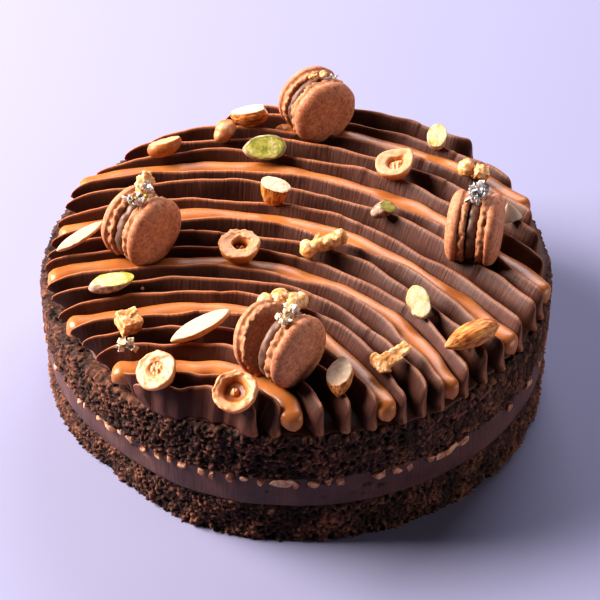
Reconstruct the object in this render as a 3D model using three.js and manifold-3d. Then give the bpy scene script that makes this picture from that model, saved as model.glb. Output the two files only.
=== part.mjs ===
// Chocolate nut cake: two sponge layers round a ganache filling, a top piped with
// ganache ridges and caramel stripes, and macarons, nuts and praline laid on the ridges.
// Millimetres, +Z up. The origin is the centre of the flat underside, and -Y is the front.
import * as THREE from "three";
import { mergeVertices } from "three/addons/utils/BufferGeometryUtils.js";
import Module from "manifold-3d";

const wasm = await Module();
wasm.setup();

// Driving dimensions
const CAKE_RADIUS = 100;
const LOWER_TOP = 18.3; // top of the lower sponge
const FILLING_TOP = 32.4;
const SPONGE_TOP = 52.7; // top of the upper sponge
const GAP = 0.3; // left between pieces that touch
const RIDGE_CREST = 64.5; // mean height of the piped crests
const SPREAD_TOP = 55.2; // top of the thin ganache spread under the ridges
const RIDGE_HALF_WIDTH = 3.7;
const CARAMEL_HALF_WIDTH = 4;
const CARAMEL_LOW = 55.5;
const CARAMEL_HIGH = 62;
const MACARON_RADIUS = 14.5;
const SIDE_STEPS = 60; // round the side of the cake
const MERGE = 1e-4; // corners closer than this are one
const TRIM = 0.05; // the most that a surface may move when spare corners are dropped

// ---- Geometry tools ----

// A repeatable draw from 0 to 1 for a pair of whole numbers.
function draw(a, b = 0) {
  const s = Math.sin(a * 12.9898 + b * 78.233 + 4.1) * 43758.5453;
  return s - Math.floor(s);
}

// Joins closed rings of points, one after another, and closes both ends with a fan.
function loft(rings) {
  const size = rings[0].length;
  const points = rings.flat();
  const index = [];
  rings.slice(1).forEach((_, k) => {
    for (let i = 0; i < size; i++) {
      const j = (i + 1) % size;
      const low = k * size;
      const high = low + size;
      index.push(low + i, low + j, high + j, low + i, high + j, high + i);
    }
  });
  [0, rings.length - 1].forEach((k) => {
    const centre = new THREE.Vector3();
    rings[k].forEach((p) => centre.addScaledVector(p, 1 / size));
    points.push(centre);
    for (let i = 0; i < size; i++) {
      const side = [k * size + i, k * size + ((i + 1) % size)];
      index.push(points.length - 1, ...(k === 0 ? side.reverse() : side));
    }
  });
  return new THREE.BufferGeometry().setFromPoints(points).setIndex(index);
}

// A profile of [radius, height] pairs turned about Z.
function turned(profile, steps) {
  const points = profile.map(([radius, height]) => new THREE.Vector2(radius, height));
  return new THREE.LatheGeometry(points, steps).rotateX(Math.PI / 2);
}

// Keeps only the positions, with shared corners merged.
function bare(geometry) {
  const copy = geometry.clone();
  copy.deleteAttribute("normal");
  copy.deleteAttribute("uv");
  return mergeVertices(copy, MERGE);
}

// Moves each corner of a closed geometry by a function of its place and number.
function shaped(geometry, move) {
  const made = bare(geometry);
  const place = made.getAttribute("position");
  const p = new THREE.Vector3();
  for (let i = 0; i < place.count; i++) {
    p.fromBufferAttribute(place, i);
    move(p, i);
    place.setXYZ(i, p.x, p.y, p.z);
  }
  return made;
}

// A solid for joining and cutting, with its faces turned outwards.
function solidOf(geometry, matrix = new THREE.Matrix4()) {
  const made = bare(geometry).applyMatrix4(matrix);
  const make = (triVerts) =>
    new wasm.Manifold(
      new wasm.Mesh({ numProp: 3, vertProperties: made.attributes.position.array, triVerts }),
    );
  const triVerts = new Uint32Array(made.index.array);
  const solid = make(triVerts);
  return solid.volume() > 0 ? solid : make(triVerts.reverse());
}

function geometryOf(solid) {
  const { vertProperties, triVerts } = solid.getMesh();
  return new THREE.BufferGeometry()
    .setAttribute("position", new THREE.BufferAttribute(vertProperties, 3))
    .setIndex(new THREE.BufferAttribute(triVerts, 1));
}

function join(solids) {
  return solids.reduce((whole, solid) => whole.add(solid));
}

// ---- Materials ----

const finish = (color, roughness) =>
  new THREE.MeshStandardMaterial({ color, roughness, metalness: 0 });
const SPONGE = finish(0x3a2019, 0.95);
const FILLING = finish(0x3b2322, 0.6);
const GANACHE = finish(0x5a3529, 0.5);
const CARAMEL = finish(0xb5713c, 0.2);
const SHELL = finish(0xa06955, 0.8);
const CREAM = finish(0x5a4641, 0.6);
const HAZELNUT = finish(0xe1a55f, 0.55);
const ALMOND = finish(0xd78c46, 0.6);
const BLANCHED = finish(0xfaf0e1, 0.6);
const PISTACHIO = finish(0xb4b932, 0.7);
const PRALINE = finish(0xe6aa5a, 0.45);
const FOIL = new THREE.MeshStandardMaterial({ color: 0xe8d6a0, roughness: 0.3, metalness: 1 });

const cake = new THREE.Group();

function addMesh(name, geometry, material) {
  const mesh = new THREE.Mesh(geometry, material);
  mesh.name = name;
  cake.add(mesh);
  return mesh;
}

// ---- Sponge layers and filling ----

// The cut side leans in at the front left, where the cake has slumped over its foot.
const SLUMP_BEARING = THREE.MathUtils.degToRad(-137);
const SLUMP_SPREAD = THREE.MathUtils.degToRad(19);

function slump(bearing) {
  const off = Math.atan2(Math.sin(bearing - SLUMP_BEARING), Math.cos(bearing - SLUMP_BEARING));
  return Math.exp(-((off / SLUMP_SPREAD) ** 2));
}

// A layer from one height to another, whose side is torn crumb or a smooth scrape.
function layer(low, high, radius, dent, rows, roughness, seed) {
  const rings = [];
  for (let row = 0; row <= rows; row++) {
    const ring = [];
    const height = low + ((high - low) * row) / rows;
    for (let i = 0; i < SIDE_STEPS; i++) {
      const bearing = (i / SIDE_STEPS) * 2 * Math.PI;
      const crumb = roughness * (draw(i + seed, row) - 0.5);
      const r = radius - dent * slump(bearing) + crumb;
      ring.push(new THREE.Vector3(r * Math.cos(bearing), r * Math.sin(bearing), height));
    }
    rings.push(ring);
  }
  return loft(rings);
}

addMesh("lower_sponge", layer(0, LOWER_TOP, CAKE_RADIUS - 1.9, 4.3, 4, 2.2, 10), SPONGE);
addMesh(
  "upper_sponge",
  layer(FILLING_TOP + GAP, SPONGE_TOP, CAKE_RADIUS - 0.6, 0.5, 4, 2, 90),
  SPONGE,
);

// Chopped nuts lie in the seam under the upper sponge and stick out a little from the
// filling: [bearing in degrees, length round the side].
const SEAM_NUT_DEPTH = 1.5;
const SEAM_NUT_HEIGHT = 1.3;
const SEAM_NUT_INSET = 1.4; // of its middle from the rim
const SEAM_SLUMP = 2.2; // how far the seam leans in where the cake has slumped
const SEAM_NUTS = [
  [-151, 3.5], [-144, 3.5], [-139.5, 5], [-135.5, 6.5], [-129, 4], [-121, 3.5], [-115, 3.5],
  [-110.5, 4], [-104, 4], [-97.5, 3.5], [-93, 8], [-86, 4.5], [-80.5, 3], [-72, 5], [-68, 4],
  [-57, 8], [-52, 6.5], [-36, 3.5], [-26, 4], [-20, 3.5],
];
const BACK_SEAM_NUTS = 12; // spread over the side away from the front
const BACK_START = -8; // degrees
const BACK_REACH = 208;
for (let i = 0; i < BACK_SEAM_NUTS; i++) {
  const bearing = BACK_START + (BACK_REACH * (i + draw(i, 3) * 0.6)) / BACK_SEAM_NUTS;
  SEAM_NUTS.push([bearing, 3 + 3 * draw(i, 5)]);
}

function seamNut([degrees, length], i) {
  const bearing = THREE.MathUtils.degToRad(degrees);
  const nut = new THREE.OctahedronGeometry(1, 0);
  nut.scale(SEAM_NUT_DEPTH, length / 2, SEAM_NUT_HEIGHT).rotateX((draw(i, 7) - 0.5) * 0.5);
  nut.translate(CAKE_RADIUS - SEAM_NUT_INSET - SEAM_SLUMP * slump(bearing), 0, FILLING_TOP - 2);
  return nut.rotateZ(bearing);
}

const fillingDisc = layer(LOWER_TOP + GAP, FILLING_TOP, CAKE_RADIUS - 1.4, SEAM_SLUMP, 2, 0.3, 50);
const filling = join([fillingDisc, ...SEAM_NUTS.map(seamNut)].map((geometry) => solidOf(geometry)));
addMesh("ganache_filling", geometryOf(filling), FILLING);

// ---- The piped top ----

// The lines that the piping bag followed, back to front, each a cubic curve from its left
// end to its right end. The second to seventh are the valleys that hold a caramel stripe.
const GUIDES = [
  [[-30, 84], [22, 102], [58, 70], [72, 63]],
  [[-54, 74], [4, 95], [68, 54], [92, 27]],
  [[-89, 39], [-9, 73], [52, 33], [95, -27]],
  [[-95, 8], [20, 52], [60, -37], [81, -56]],
  [[-97, -18], [0, 9], [38, -34], [57, -81]],
  [[-87, -47], [-15, -26], [8, -39], [33, -93]],
  [[-69, -70], [-49, -72], [-11, -60], [0, -98]],
  [[-59, -79], [-51, -89], [-27, -80], [-15, -97]],
];

// Each ridge lies between two guides: [guide behind it, share of the way to the next, start].
const RIDGES = [
  [0, 0, 0], [0, 0.7, 0.12],
  [1, 0.2, 0], [1, 0.46, 0], [1, 0.77, 0],
  [2, 0.19, 0], [2, 0.43, 0], [2, 0.81, 0],
  [3, 0.23, 0], [3, 0.51, 0], [3, 0.81, 0],
  [4, 0.22, 0], [4, 0.48, 0], [4, 0.78, 0],
  [5, 0.18, 0], [5, 0.45, 0], [5, 0.75, 0],
  [6, 0.5, 0], [6, 1, 0],
];
const CARAMEL_STARTS = [0.28, 0.01, 0.01, 0.01, 0.01, 0.02]; // share of the valley left bare

// The curve at a share of the way from one guide to the next.
function guide(index, share) {
  const next = GUIDES[Math.min(index + 1, GUIDES.length - 1)];
  const corners = GUIDES[index].map(([x, y], i) => {
    const [nextX, nextY] = next[i];
    return new THREE.Vector3(x + (nextX - x) * share, y + (nextY - y) * share, 0);
  });
  return new THREE.CubicBezierCurve3(...corners);
}

// The hand's wander off the line, in millimetres to the side.
function wander(line, along) {
  const slow = 0.6 * Math.sin(2 * Math.PI * (along * 3.1 + line * 0.37));
  return slow + 0.3 * Math.sin(2 * Math.PI * (along * 7.3 + line * 0.61));
}

// A section swept along a guide, with its rings closer together towards both ends. The
// section holds [sideways, up] shares, and size(t, left, right) gives the half width, foot
// and crest from the share of the way along and the distance to each end.
const FIRST_TURN = 0.04; // the share of a half turn that is left out at each end
const FIRST_SHARE = (1 - Math.cos(Math.PI * FIRST_TURN)) / 2;
function swept(curve, line, start, steps, section, size) {
  const length = curve.getLength() * (1 - start);
  const rings = [];
  for (let k = 0; k <= steps; k++) {
    const turn = Math.PI * (FIRST_TURN + ((1 - 2 * FIRST_TURN) * k) / steps);
    const along = ((1 - Math.cos(turn)) / 2 - FIRST_SHARE) / (1 - 2 * FIRST_SHARE);
    const t = start + (1 - start) * THREE.MathUtils.clamp(along, 0, 1);
    const at = curve.getPointAt(t);
    const ahead = curve.getTangentAt(t);
    const left = length * (t - start) / (1 - start);
    const { half, foot, crest } = size(t, left, length - left);
    const shift = wander(line, t);
    rings.push(
      section.map(([side, up]) => {
        const n = shift + side * half;
        return new THREE.Vector3(at.x - ahead.y * n, at.y + ahead.x * n, foot + up * (crest - foot));
      }),
    );
  }
  return loft(rings);
}

// From 0 at an end to 1 at a distance inside it, as a quarter of an ellipse.
function rounded(distance, reach) {
  const share = THREE.MathUtils.clamp(distance / reach, 0, 1);
  return Math.sqrt(1 - (1 - share) ** 2);
}

// A ridge is a thin blade: its crest sinks a little to a narrow tail at the left, and at the
// right it stays high and ends in an upright petal.
const TAIL_HEIGHT = 0.5; // share of the full height at the tail's tip
const TAIL_RISE = 18; // length over which the tail reaches the full height
const TAIL_SWELL = 15; // and the full width
const PETAL_HEIGHT = 0.55; // share of the full height at the petal's tip
const PETAL_RISE = 4;
const PETAL_SWELL = 5;
const BLUNT = 0.3; // keeps an end from running out to a sharp edge
const RIDGE_SECTION = [[1, 0], [0.6, 0.55], [0.13, 1], [-0.13, 1], [-0.6, 0.55], [-1, 0]];
const RIDGE_STEPS = 10;
const RIDGE_FOOT = SPONGE_TOP + 2 * GAP; // just inside the spread

function ridge([index, share, start], line) {
  const size = (t, left, right) => {
    const tailRise = TAIL_HEIGHT + (1 - TAIL_HEIGHT) * rounded(left, TAIL_RISE);
    const petalRise = PETAL_HEIGHT + (1 - PETAL_HEIGHT) * rounded(right, PETAL_RISE);
    const height = RIDGE_CREST - RIDGE_FOOT + 0.5 * Math.sin(2 * Math.PI * (t * 2.3 + line * 0.43));
    const tail = 0.2 + 0.8 * rounded(left, TAIL_SWELL);
    return {
      half: RIDGE_HALF_WIDTH * tail * (0.3 + 0.7 * rounded(right, PETAL_SWELL)),
      foot: RIDGE_FOOT,
      crest: RIDGE_FOOT + height * tailRise * petalRise,
    };
  };
  return swept(guide(index, share), line, start, RIDGE_STEPS, RIDGE_SECTION, size);
}

// The spread of ganache under the ridges has an uneven edge, set in from the sponge's rim.
const SPREAD_INSET = 2.7;
const SPREAD_BEVEL = 0.8;

function spread() {
  const rings = [SPONGE_TOP + GAP, SPREAD_TOP].map((height, row) =>
    Array.from({ length: SIDE_STEPS }, (_, i) => {
      const bearing = (i / SIDE_STEPS) * 2 * Math.PI;
      const edge = 0.9 * Math.sin(5 * bearing + 1) + 0.6 * Math.sin(11 * bearing);
      const r = CAKE_RADIUS - SPREAD_INSET - SPREAD_BEVEL * row + edge;
      return new THREE.Vector3(r * Math.cos(bearing), r * Math.sin(bearing), height);
    }),
  );
  return loft(rings);
}

// A caramel stripe is a soft bead with blunt ends, lying in its valley.
const CARAMEL_STEPS = 10;
const CARAMEL_SECTION = [[0.6, 0], [1, 0.55], [0.4, 1], [-0.4, 1], [-1, 0.55], [-0.6, 0]];
const CARAMEL_END = 4.5; // length of its rounded end

function caramel(index, grow) {
  const size = (t, left, right) => {
    const end = rounded(left + BLUNT, CARAMEL_END) * rounded(right + BLUNT, CARAMEL_END);
    return {
      half: CARAMEL_HALF_WIDTH * (0.35 + 0.65 * end) + grow,
      foot: CARAMEL_LOW - grow,
      crest: CARAMEL_LOW + (CARAMEL_HIGH - CARAMEL_LOW) * (0.5 + 0.5 * end) + grow,
    };
  };
  const start = CARAMEL_STARTS[index - 1];
  return swept(guide(index, 0), 20 + index, start, CARAMEL_STEPS, CARAMEL_SECTION, size);
}

// ---- Toppings ----

const toppings = []; // every piece that is pressed into the ridges

// Places a piece and notes it, so that the ridges can be pressed in under it.
function lay(name, geometry, material, at, turn = [0, 0, 0]) {
  const mesh = addMesh(name, geometry, material);
  mesh.position.set(...at);
  const [pitch, roll, yaw] = turn.map(THREE.MathUtils.degToRad);
  mesh.rotation.set(pitch, roll, yaw, "ZYX");
  toppings.push(mesh);
  return mesh;
}

// The hull of a piece where it lies on the cake, larger by a little over the gap all round.
const PRESS_MARGIN = GAP + 0.075;

function pressOf(mesh) {
  mesh.updateWorldMatrix(true, false);
  const grown = bare(mesh.geometry);
  grown.computeBoundingBox();
  const size = grown.boundingBox.getSize(new THREE.Vector3());
  const centre = grown.boundingBox.getCenter(new THREE.Vector3());
  const widen = (extent) => 1 + (2 * PRESS_MARGIN) / extent;
  grown.translate(-centre.x, -centre.y, -centre.z);
  grown.scale(widen(size.x), widen(size.y), widen(size.z));
  grown.translate(centre.x, centre.y, centre.z);
  return solidOf(grown, mesh.matrixWorld).hull();
}

// A macaron stands on its rim: two domed shells with ruffled feet, and cream between them.
const SHELL_PROFILE = [
  [0, 2.2], [13.8, 2.2], [14.1, 3.9], [MACARON_RADIUS, 5.6], [12.6, 8.4], [8, 10], [0, 10.4],
];
const CREAM_PROFILE = [[0, -1.9], [12.4, -1.9], [13, 0], [12.4, 1.9], [0, 1.9]];
const ROUND_STEPS = 16;

// Each macaron: [name, x, y, height of its centre, bearing of its axis from the front, opening].
const MACARONS = [
  ["back", 8.3, 78, 73.8, 30, 0],
  ["left", -59.4, -2.4, 73.6, 49, 0],
  ["right", 68.5, -3.4, 73.6, 77, 0],
  ["front", -4.2, -71.5, 73.4, 49, 17],
];

function macaron([name, x, y, height, bearing, opening]) {
  const group = new THREE.Group();
  group.position.set(x, y, height);
  group.rotation.set(Math.PI / 2, 0, THREE.MathUtils.degToRad(bearing), "ZXY");
  cake.add(group);
  const part = (suffix, profile, material) => {
    const mesh = new THREE.Mesh(bare(turned(profile, ROUND_STEPS)), material);
    mesh.name = "macaron_" + name + "_" + suffix;
    group.add(mesh);
    toppings.push(mesh);
    return mesh;
  };
  part("near_shell", SHELL_PROFILE, SHELL);
  part("cream", CREAM_PROFILE, CREAM);
  const far = part("far_shell", SHELL_PROFILE.map(([r, z]) => [r, -z]).reverse(), SHELL);
  // An open macaron has its far shell tipped away about the lowest point of the rim.
  const angle = THREE.MathUtils.degToRad(opening);
  far.rotation.x = -angle;
  far.position.y = -MACARON_RADIUS * (1 - Math.cos(angle));
  far.position.z = -MACARON_RADIUS * Math.sin(angle);
}

MACARONS.forEach(macaron);

// Half a hazelnut, cut face up, with the hollow of its middle. The profile is in radii.
const HAZELNUT_PROFILE = [
  [0, -0.98], [0.5, -0.85], [0.88, -0.45], [1, -0.08], [0.9, 0], [0.4, -0.04], [0.22, -0.42], [0, -0.5],
];
const HAZELNUT_STEPS = 11;

function hazelnut(diameter) {
  const r = diameter / 2;
  return turned(HAZELNUT_PROFILE.map(([across, up]) => [across * r, up * r]), HAZELNUT_STEPS);
}

// A kernel lies along X, pointed at its left end. A cut leaves a flat face: cut is the height
// of one along it, and end the share of its length where one crosses it.
const KERNEL_STATIONS = [0.03, 0.2, 0.5, 0.8, 0.98]; // shares of its length
const KERNEL_END = 0.98;
const KERNEL_SIDES = 8;
const BELLY = 0.62; // the share of its length at which it is widest

function kernel(length, width, thickness, point, cut = 1, end = KERNEL_END) {
  const outline = (s) => s ** point * (1 - s) ** 0.5;
  const rings = KERNEL_STATIONS.map((station) => {
    const s = (station * end) / KERNEL_END;
    const swell = outline(s) / outline(BELLY) / 2;
    return Array.from({ length: KERNEL_SIDES }, (_, i) => {
      const angle = ((i + 0.5) / KERNEL_SIDES) * 2 * Math.PI;
      const up = Math.min(Math.sin(angle), cut) * swell * thickness;
      return new THREE.Vector3((s - 0.5) * length, Math.cos(angle) * swell * width, up);
    });
  });
  return loft(rings);
}

// A lump of praline or broken nut: an uneven ball, drawn out to its length.
function lump(length, width, height, seed, unevenness = 0.3, waist = 0) {
  return shaped(new THREE.IcosahedronGeometry(1, 1), (p, i) => {
    const swell = 1 - unevenness * draw(i, seed) - waist * (1 - Math.abs(p.x)) ** 2;
    p.set((p.x * length) / 2, (p.y * width * swell) / 2, (p.z * height * swell) / 2);
  });
}

// A broken block or flake: a box whose corners are knocked about.
function block(length, width, height, seed, unevenness) {
  return shaped(new THREE.BoxGeometry(length, width, height, 2, 2, 1), (p, i) => {
    p.x *= 1 - unevenness * draw(i, seed);
    p.y *= 1 - unevenness * draw(i, seed + 1);
    p.z *= 1 - 0.5 * unevenness * draw(i, seed + 2);
  });
}

// A torn scrap of leaf: a wavy sheet, thick enough to stand.
function scrap(length, width, thickness, seed) {
  return shaped(new THREE.BoxGeometry(length, width, thickness, 4, 2, 1), (p, i) => {
    const edge = Math.abs(p.y) > width / 4 ? 1 - 0.45 * draw(Math.round(p.x * 10), seed) : 1;
    p.y *= edge;
    p.z += 0.9 * Math.sin(p.x * 1.3 + seed) + 0.5 * Math.sin(p.y * 2);
  });
}

const HAZELNUTS = [
  // x, y, height of the cut face, pitch, roll, diameter
  [-21.8, -9.2, 70.6, 4, 8, 16],
  [38.8, 42.6, 70.8, 8, -6, 16],
  [-50.6, -80.4, 69.4, 20, -22, 15.5],
  [-21.8, -91.2, 69.2, 20, -8, 16.5],
];
HAZELNUTS.forEach(([x, y, z, pitch, roll, size], i) =>
  lay("hazelnut_" + (i + 1), hazelnut(size), HAZELNUT, [x, y, z], [pitch, roll, 0]),
);

lay("almond_whole", kernel(24, 10, 8, 0.8), ALMOND, [64.4, -59.8, 68.2], [12, -3, 32]);
lay("almond_tip", kernel(14, 9.6, 7.5, 0.8), ALMOND, [15.6, -82.4, 68.4], [0, -42, 84]);
lay("almond_blanched", kernel(26, 7.6, 6.5, 0.7, 0.35), BLANCHED, [-35, -55, 68.2], [8, -8, 32]);
lay("almond_sliver", kernel(23, 5, 4.2, 0.6, 0.4), BLANCHED, [-83, -2.6, 68.6], [10, -8, 40]);
lay("almond_half", kernel(22, 12, 8.5, 0.8, 1, 0.6), ALMOND, [-8.5, 25.2, 70.6], [90, -68, -15]);
lay("almond_chunk", kernel(16, 10, 8.5, 0.6, 0.35), ALMOND, [-19.3, 78, 68.4], [-4, -4, 6]);
lay("almond_chip", block(7.5, 3, 8, 5, 0.3), BLANCHED, [84, 12.4, 68], [-35, 0, 0]);
lay("peanut_piece", lump(11, 9, 9, 3, 0.2), HAZELNUT, [-29.3, 67, 68.2], [0, -20, 40]);
lay("peanut_half", kernel(15, 10, 8.5, 0.5, 0.45), HAZELNUT, [-53.4, 56, 68.8], [-16, -8, 28]);
lay("pistachio_half", kernel(18, 11, 8, 0.6, 0.45), PISTACHIO, [-12.9, 55.6, 68.2], [24, 0, 10]);
lay("pistachio_cut", kernel(11, 8.5, 8.5, 0.45, 0.5), PISTACHIO, [57.4, 63, 68.4], [0, -35, 78]);
lay("pistachio_dark", kernel(11.5, 6.5, 6, 0.5, 0.6), PISTACHIO, [34.5, 16.6, 67.2], [0, -14, 22]);
lay("pistachio_left", kernel(18, 10, 7, 0.55, 0.4), PISTACHIO, [-69.6, -29.4, 68], [2, -8, 20]);
lay("pistachio_slice", kernel(16, 9, 5, 0.55, 0.3), PISTACHIO, [45.7, -40.8, 67.6], [6, -12, 98]);
lay("praline_twin", lump(14, 9, 8, 21, 0.28), PRALINE, [71.2, 41, 67.8], [0, 6, -16]);
lay("praline_log", lump(20, 10, 8.5, 11, 0.25, 0.25), PRALINE, [10.6, -6.6, 68.2], [0, -6, 14]);
lay("praline_flake", block(17, 8.5, 4.5, 14, 0.45), PRALINE, [35.2, -72, 67.2], [20, 0, 26]);
lay("praline_cube", block(9.5, 9, 8.5, 17, 0.25), PRALINE, [-61.6, -52.8, 68.2], [12, 8, 28]);
lay("praline_front", lump(20, 11, 9, 25, 0.28), PRALINE, [-5.2, -41.4, 68.4], [0, 0, 4]);
lay("praline_left_top", lump(10, 8.5, 13, 31, 0.3), PRALINE, [-57.4, -1.6, 94.6], [0, 10, 50]);
lay("praline_back_top", lump(9, 4.5, 3.4, 33, 0.2), PRALINE, [8.6, 77.6, 88.2], [0, 8, 32]);
lay("foil_right_top", lump(9, 7.5, 8, 41, 0.3), FOIL, [68.6, -3.4, 91.2], [0, 0, 70]);
lay("foil_front_top", lump(10, 5, 3.6, 43, 0.3), FOIL, [-3.4, -72.6, 89], [0, -6, 50]);
lay("foil_leaf", scrap(8, 7.5, 0.8, 2), FOIL, [-61.6, -66.3, 67.8], [50, 0, 10]);

// ---- The ridges, cut for the caramel and pressed in under the toppings ----

const presses = toppings.map(pressOf);
const pressedIn = (solid) => presses.reduce((left, press) => left.subtract(press), solid);

const stripes = [1, 2, 3, 4, 5, 6];
const piping = join([solidOf(spread()), ...RIDGES.map((entry, line) => solidOf(ridge(entry, line)))]);
const grooved = stripes.reduce((left, index) => left.subtract(solidOf(caramel(index, GAP))), piping);
addMesh("piped_ganache", geometryOf(pressedIn(grooved).simplify(TRIM)), GANACHE);
stripes.forEach((index) => {
  addMesh("caramel_" + index, geometryOf(pressedIn(solidOf(caramel(index, 0)))), CARAMEL);
});

export default cake;
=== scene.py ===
"""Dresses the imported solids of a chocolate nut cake: torn sponge, scraped and piped
ganache, caramel, macarons, nuts, praline and metal leaf, on a pale floor in soft light."""

import bmesh
import bpy
import numpy as np
from mathutils import Euler, Matrix, Vector


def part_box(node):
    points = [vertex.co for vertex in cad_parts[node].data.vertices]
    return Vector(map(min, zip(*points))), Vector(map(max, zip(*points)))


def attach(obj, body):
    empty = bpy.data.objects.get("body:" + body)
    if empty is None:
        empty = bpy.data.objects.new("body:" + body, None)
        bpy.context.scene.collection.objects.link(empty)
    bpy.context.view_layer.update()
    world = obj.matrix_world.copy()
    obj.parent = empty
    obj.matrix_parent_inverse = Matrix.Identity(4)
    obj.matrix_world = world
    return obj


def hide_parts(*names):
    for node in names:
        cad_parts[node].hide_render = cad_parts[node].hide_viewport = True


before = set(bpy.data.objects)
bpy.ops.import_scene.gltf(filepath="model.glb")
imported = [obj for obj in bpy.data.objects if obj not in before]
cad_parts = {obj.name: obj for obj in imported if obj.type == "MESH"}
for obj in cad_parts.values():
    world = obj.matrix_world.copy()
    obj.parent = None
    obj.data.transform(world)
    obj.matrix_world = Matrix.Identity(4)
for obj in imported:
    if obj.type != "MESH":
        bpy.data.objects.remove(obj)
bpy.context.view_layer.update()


# ---- Sponge layers ----
# Two rounds of dark cocoa sponge. The tin's edge was cut away, so the sides show torn open
# crumb: pits where bubbles were, and clumps that stand proud. Dry, matt and almost black.

MM = 0.001  # sizes below are in millimetres, and meshes in metres
CAKE_RADIUS = 100
MOST_RADIUS = CAKE_RADIUS - 0.1  # no crumb stands out of the solids' box
SLUMP_BEARING = np.radians(-137)  # the front left, where the side has slumped over its foot
SLUMP_SPREAD = np.radians(19)
SEED_SHIFT = 31.7  # how far apart two seeds look into the same noise


def levels(node):
    low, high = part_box(node)
    return low.z / MM, high.z / MM


def slump(bearing):
    off = np.arctan2(np.sin(bearing - SLUMP_BEARING), np.cos(bearing - SLUMP_BEARING))
    return np.exp(-((off / SLUMP_SPREAD) ** 2))


def scatter(cells):
    """Three steady draws from 0 to 1 for each cell of whole numbers."""
    x, y, z = (cells[:, i].astype(np.uint32) for i in range(3))
    mixed = x * np.uint32(374761393) + y * np.uint32(668265263) + z * np.uint32(2246822519)
    mixed = (mixed ^ (mixed >> 13)) * np.uint32(1274126177)
    mixed ^= mixed >> 16
    return np.stack([mixed & 1023, (mixed >> 10) & 1023, (mixed >> 20) & 1023], axis=1) / 1023


def noise(points, size, seed=0):
    """Smooth noise from about -1 to 1, whose bumps are of that size in millimetres."""
    place = points.reshape(-1, 3) / size + SEED_SHIFT * seed
    cell = np.floor(place).astype(np.int64)
    inside = place - cell
    fade = inside**3 * (inside * (inside * 6 - 15) + 10)
    total = np.zeros(len(place))
    for corner in np.ndindex(2, 2, 2):
        slope = scatter(cell + corner) - 0.5
        weight = np.where(np.array(corner) == 1, fade, 1 - fade).prod(axis=1)
        total += weight * (slope * (inside - corner)).sum(axis=1)
    return 4 * total.reshape(points.shape[:-1])


def nearest(points, size, seed=0):
    """Distance to the nearest of many strewn centres, as a share of their spacing."""
    place = points.reshape(-1, 3) / size + SEED_SHIFT * seed
    cell = np.floor(place).astype(np.int64)
    best = np.full(len(place), 9.0)
    for corner in np.ndindex(3, 3, 3):
        other = cell + corner - 1
        best = np.minimum(best, ((other + scatter(other) - place) ** 2).sum(axis=1))
    return np.sqrt(best).reshape(points.shape[:-1])


def ramp(values, low, high):
    """From 0 below low to 1 above high, with soft ends."""
    share = np.clip((values - low) / (high - low), 0, 1)
    return share * share * (3 - 2 * share)


def closed(rings):
    """Points and faces of a body drawn through rings of points, with both ends closed."""
    rows, columns, _ = rings.shape
    first = np.arange((rows - 1) * columns).reshape(rows - 1, columns)
    beside = np.roll(first, -1, axis=1)
    quads = np.stack([first, beside, beside + columns, first + columns], axis=-1).reshape(-1, 4)
    points = np.vstack([rings.reshape(-1, 3), rings[0].mean(axis=0), rings[-1].mean(axis=0)])
    foot = np.arange(columns)
    top = foot + (rows - 1) * columns
    middle = np.full(columns, rows * columns)
    foot_fan = np.stack([middle, np.roll(foot, -1), foot], axis=-1)
    top_fan = np.stack([middle + 1, top, np.roll(top, -1)], axis=-1)
    return points, [quads, foot_fan, top_fan]


def for_points(values):
    """A value for each point of closed(): the rings' own, and the mean for each end's middle."""
    flat = values.reshape(-1, *values.shape[2:])
    return np.concatenate([flat, values[:1].mean(axis=1), values[-1:].mean(axis=1)])


def mesh_object(name, points, faces, material, **values):
    """An object with a smooth mesh. Each further value is kept as one of its attributes."""
    volume = 0
    for corners in (points[f] for f in faces):
        for i in range(1, corners.shape[1] - 1):
            volume += (corners[:, 0] * np.cross(corners[:, i], corners[:, i + 1])).sum()
    if volume < 0:
        faces = [f[:, ::-1] for f in faces]
    mesh = bpy.data.meshes.new(name)
    mesh.vertices.add(len(points))
    mesh.vertices.foreach_set("co", (points * MM).astype(np.float32).ravel())
    sizes = np.concatenate([np.full(len(f), f.shape[1]) for f in faces])
    corners = np.concatenate([f.ravel() for f in faces])
    mesh.loops.add(len(corners))
    mesh.loops.foreach_set("vertex_index", corners.astype(np.int32))
    mesh.polygons.add(len(sizes))
    mesh.polygons.foreach_set("loop_start", (np.cumsum(sizes) - sizes).astype(np.int32))
    mesh.polygons.foreach_set("use_smooth", np.ones(len(sizes), bool))
    for key, value in values.items():
        kind, field = ("FLOAT", "value") if value.ndim == 1 else ("FLOAT_VECTOR", "vector")
        kept = mesh.attributes.new(key, kind, "POINT")
        kept.data.foreach_set(field, value.astype(np.float32).ravel())
    mesh.update(calc_edges=True)
    mesh.materials.append(material)
    made = bpy.data.objects.new(name, mesh)
    bpy.context.scene.collection.objects.link(made)
    return made


def dress(made, node=None, at=(0, 0, 0), turn=(0, 0, 0)):
    """Ties a finished piece to the frame, where its solid lies: its place in millimetres,
    and its turns about X, Y and Z in degrees."""
    made.location = np.array(at) * MM
    made.rotation_euler = np.radians(turn)
    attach(made, "root")
    if node:
        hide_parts(node)


def piece(name, rings, material, slot, node=None, at=(0, 0, 0), turn=(0, 0, 0), **values):
    """A piece of the cake drawn through rings, with further values for each of their points."""
    values = {key: for_points(value) for key, value in values.items()}
    points, faces = closed(rings)
    dress(mesh_object(name, points, faces, material, **values), node, at, turn)


def colour(code):
    """A linear colour from an sRGB hex code."""
    parts = [int(code[i : i + 2], 16) / 255 for i in (1, 3, 5)]
    linear = [c / 12.92 if c <= 0.04045 else ((c + 0.055) / 1.055) ** 2.4 for c in parts]
    return (*linear, 1)


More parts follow.
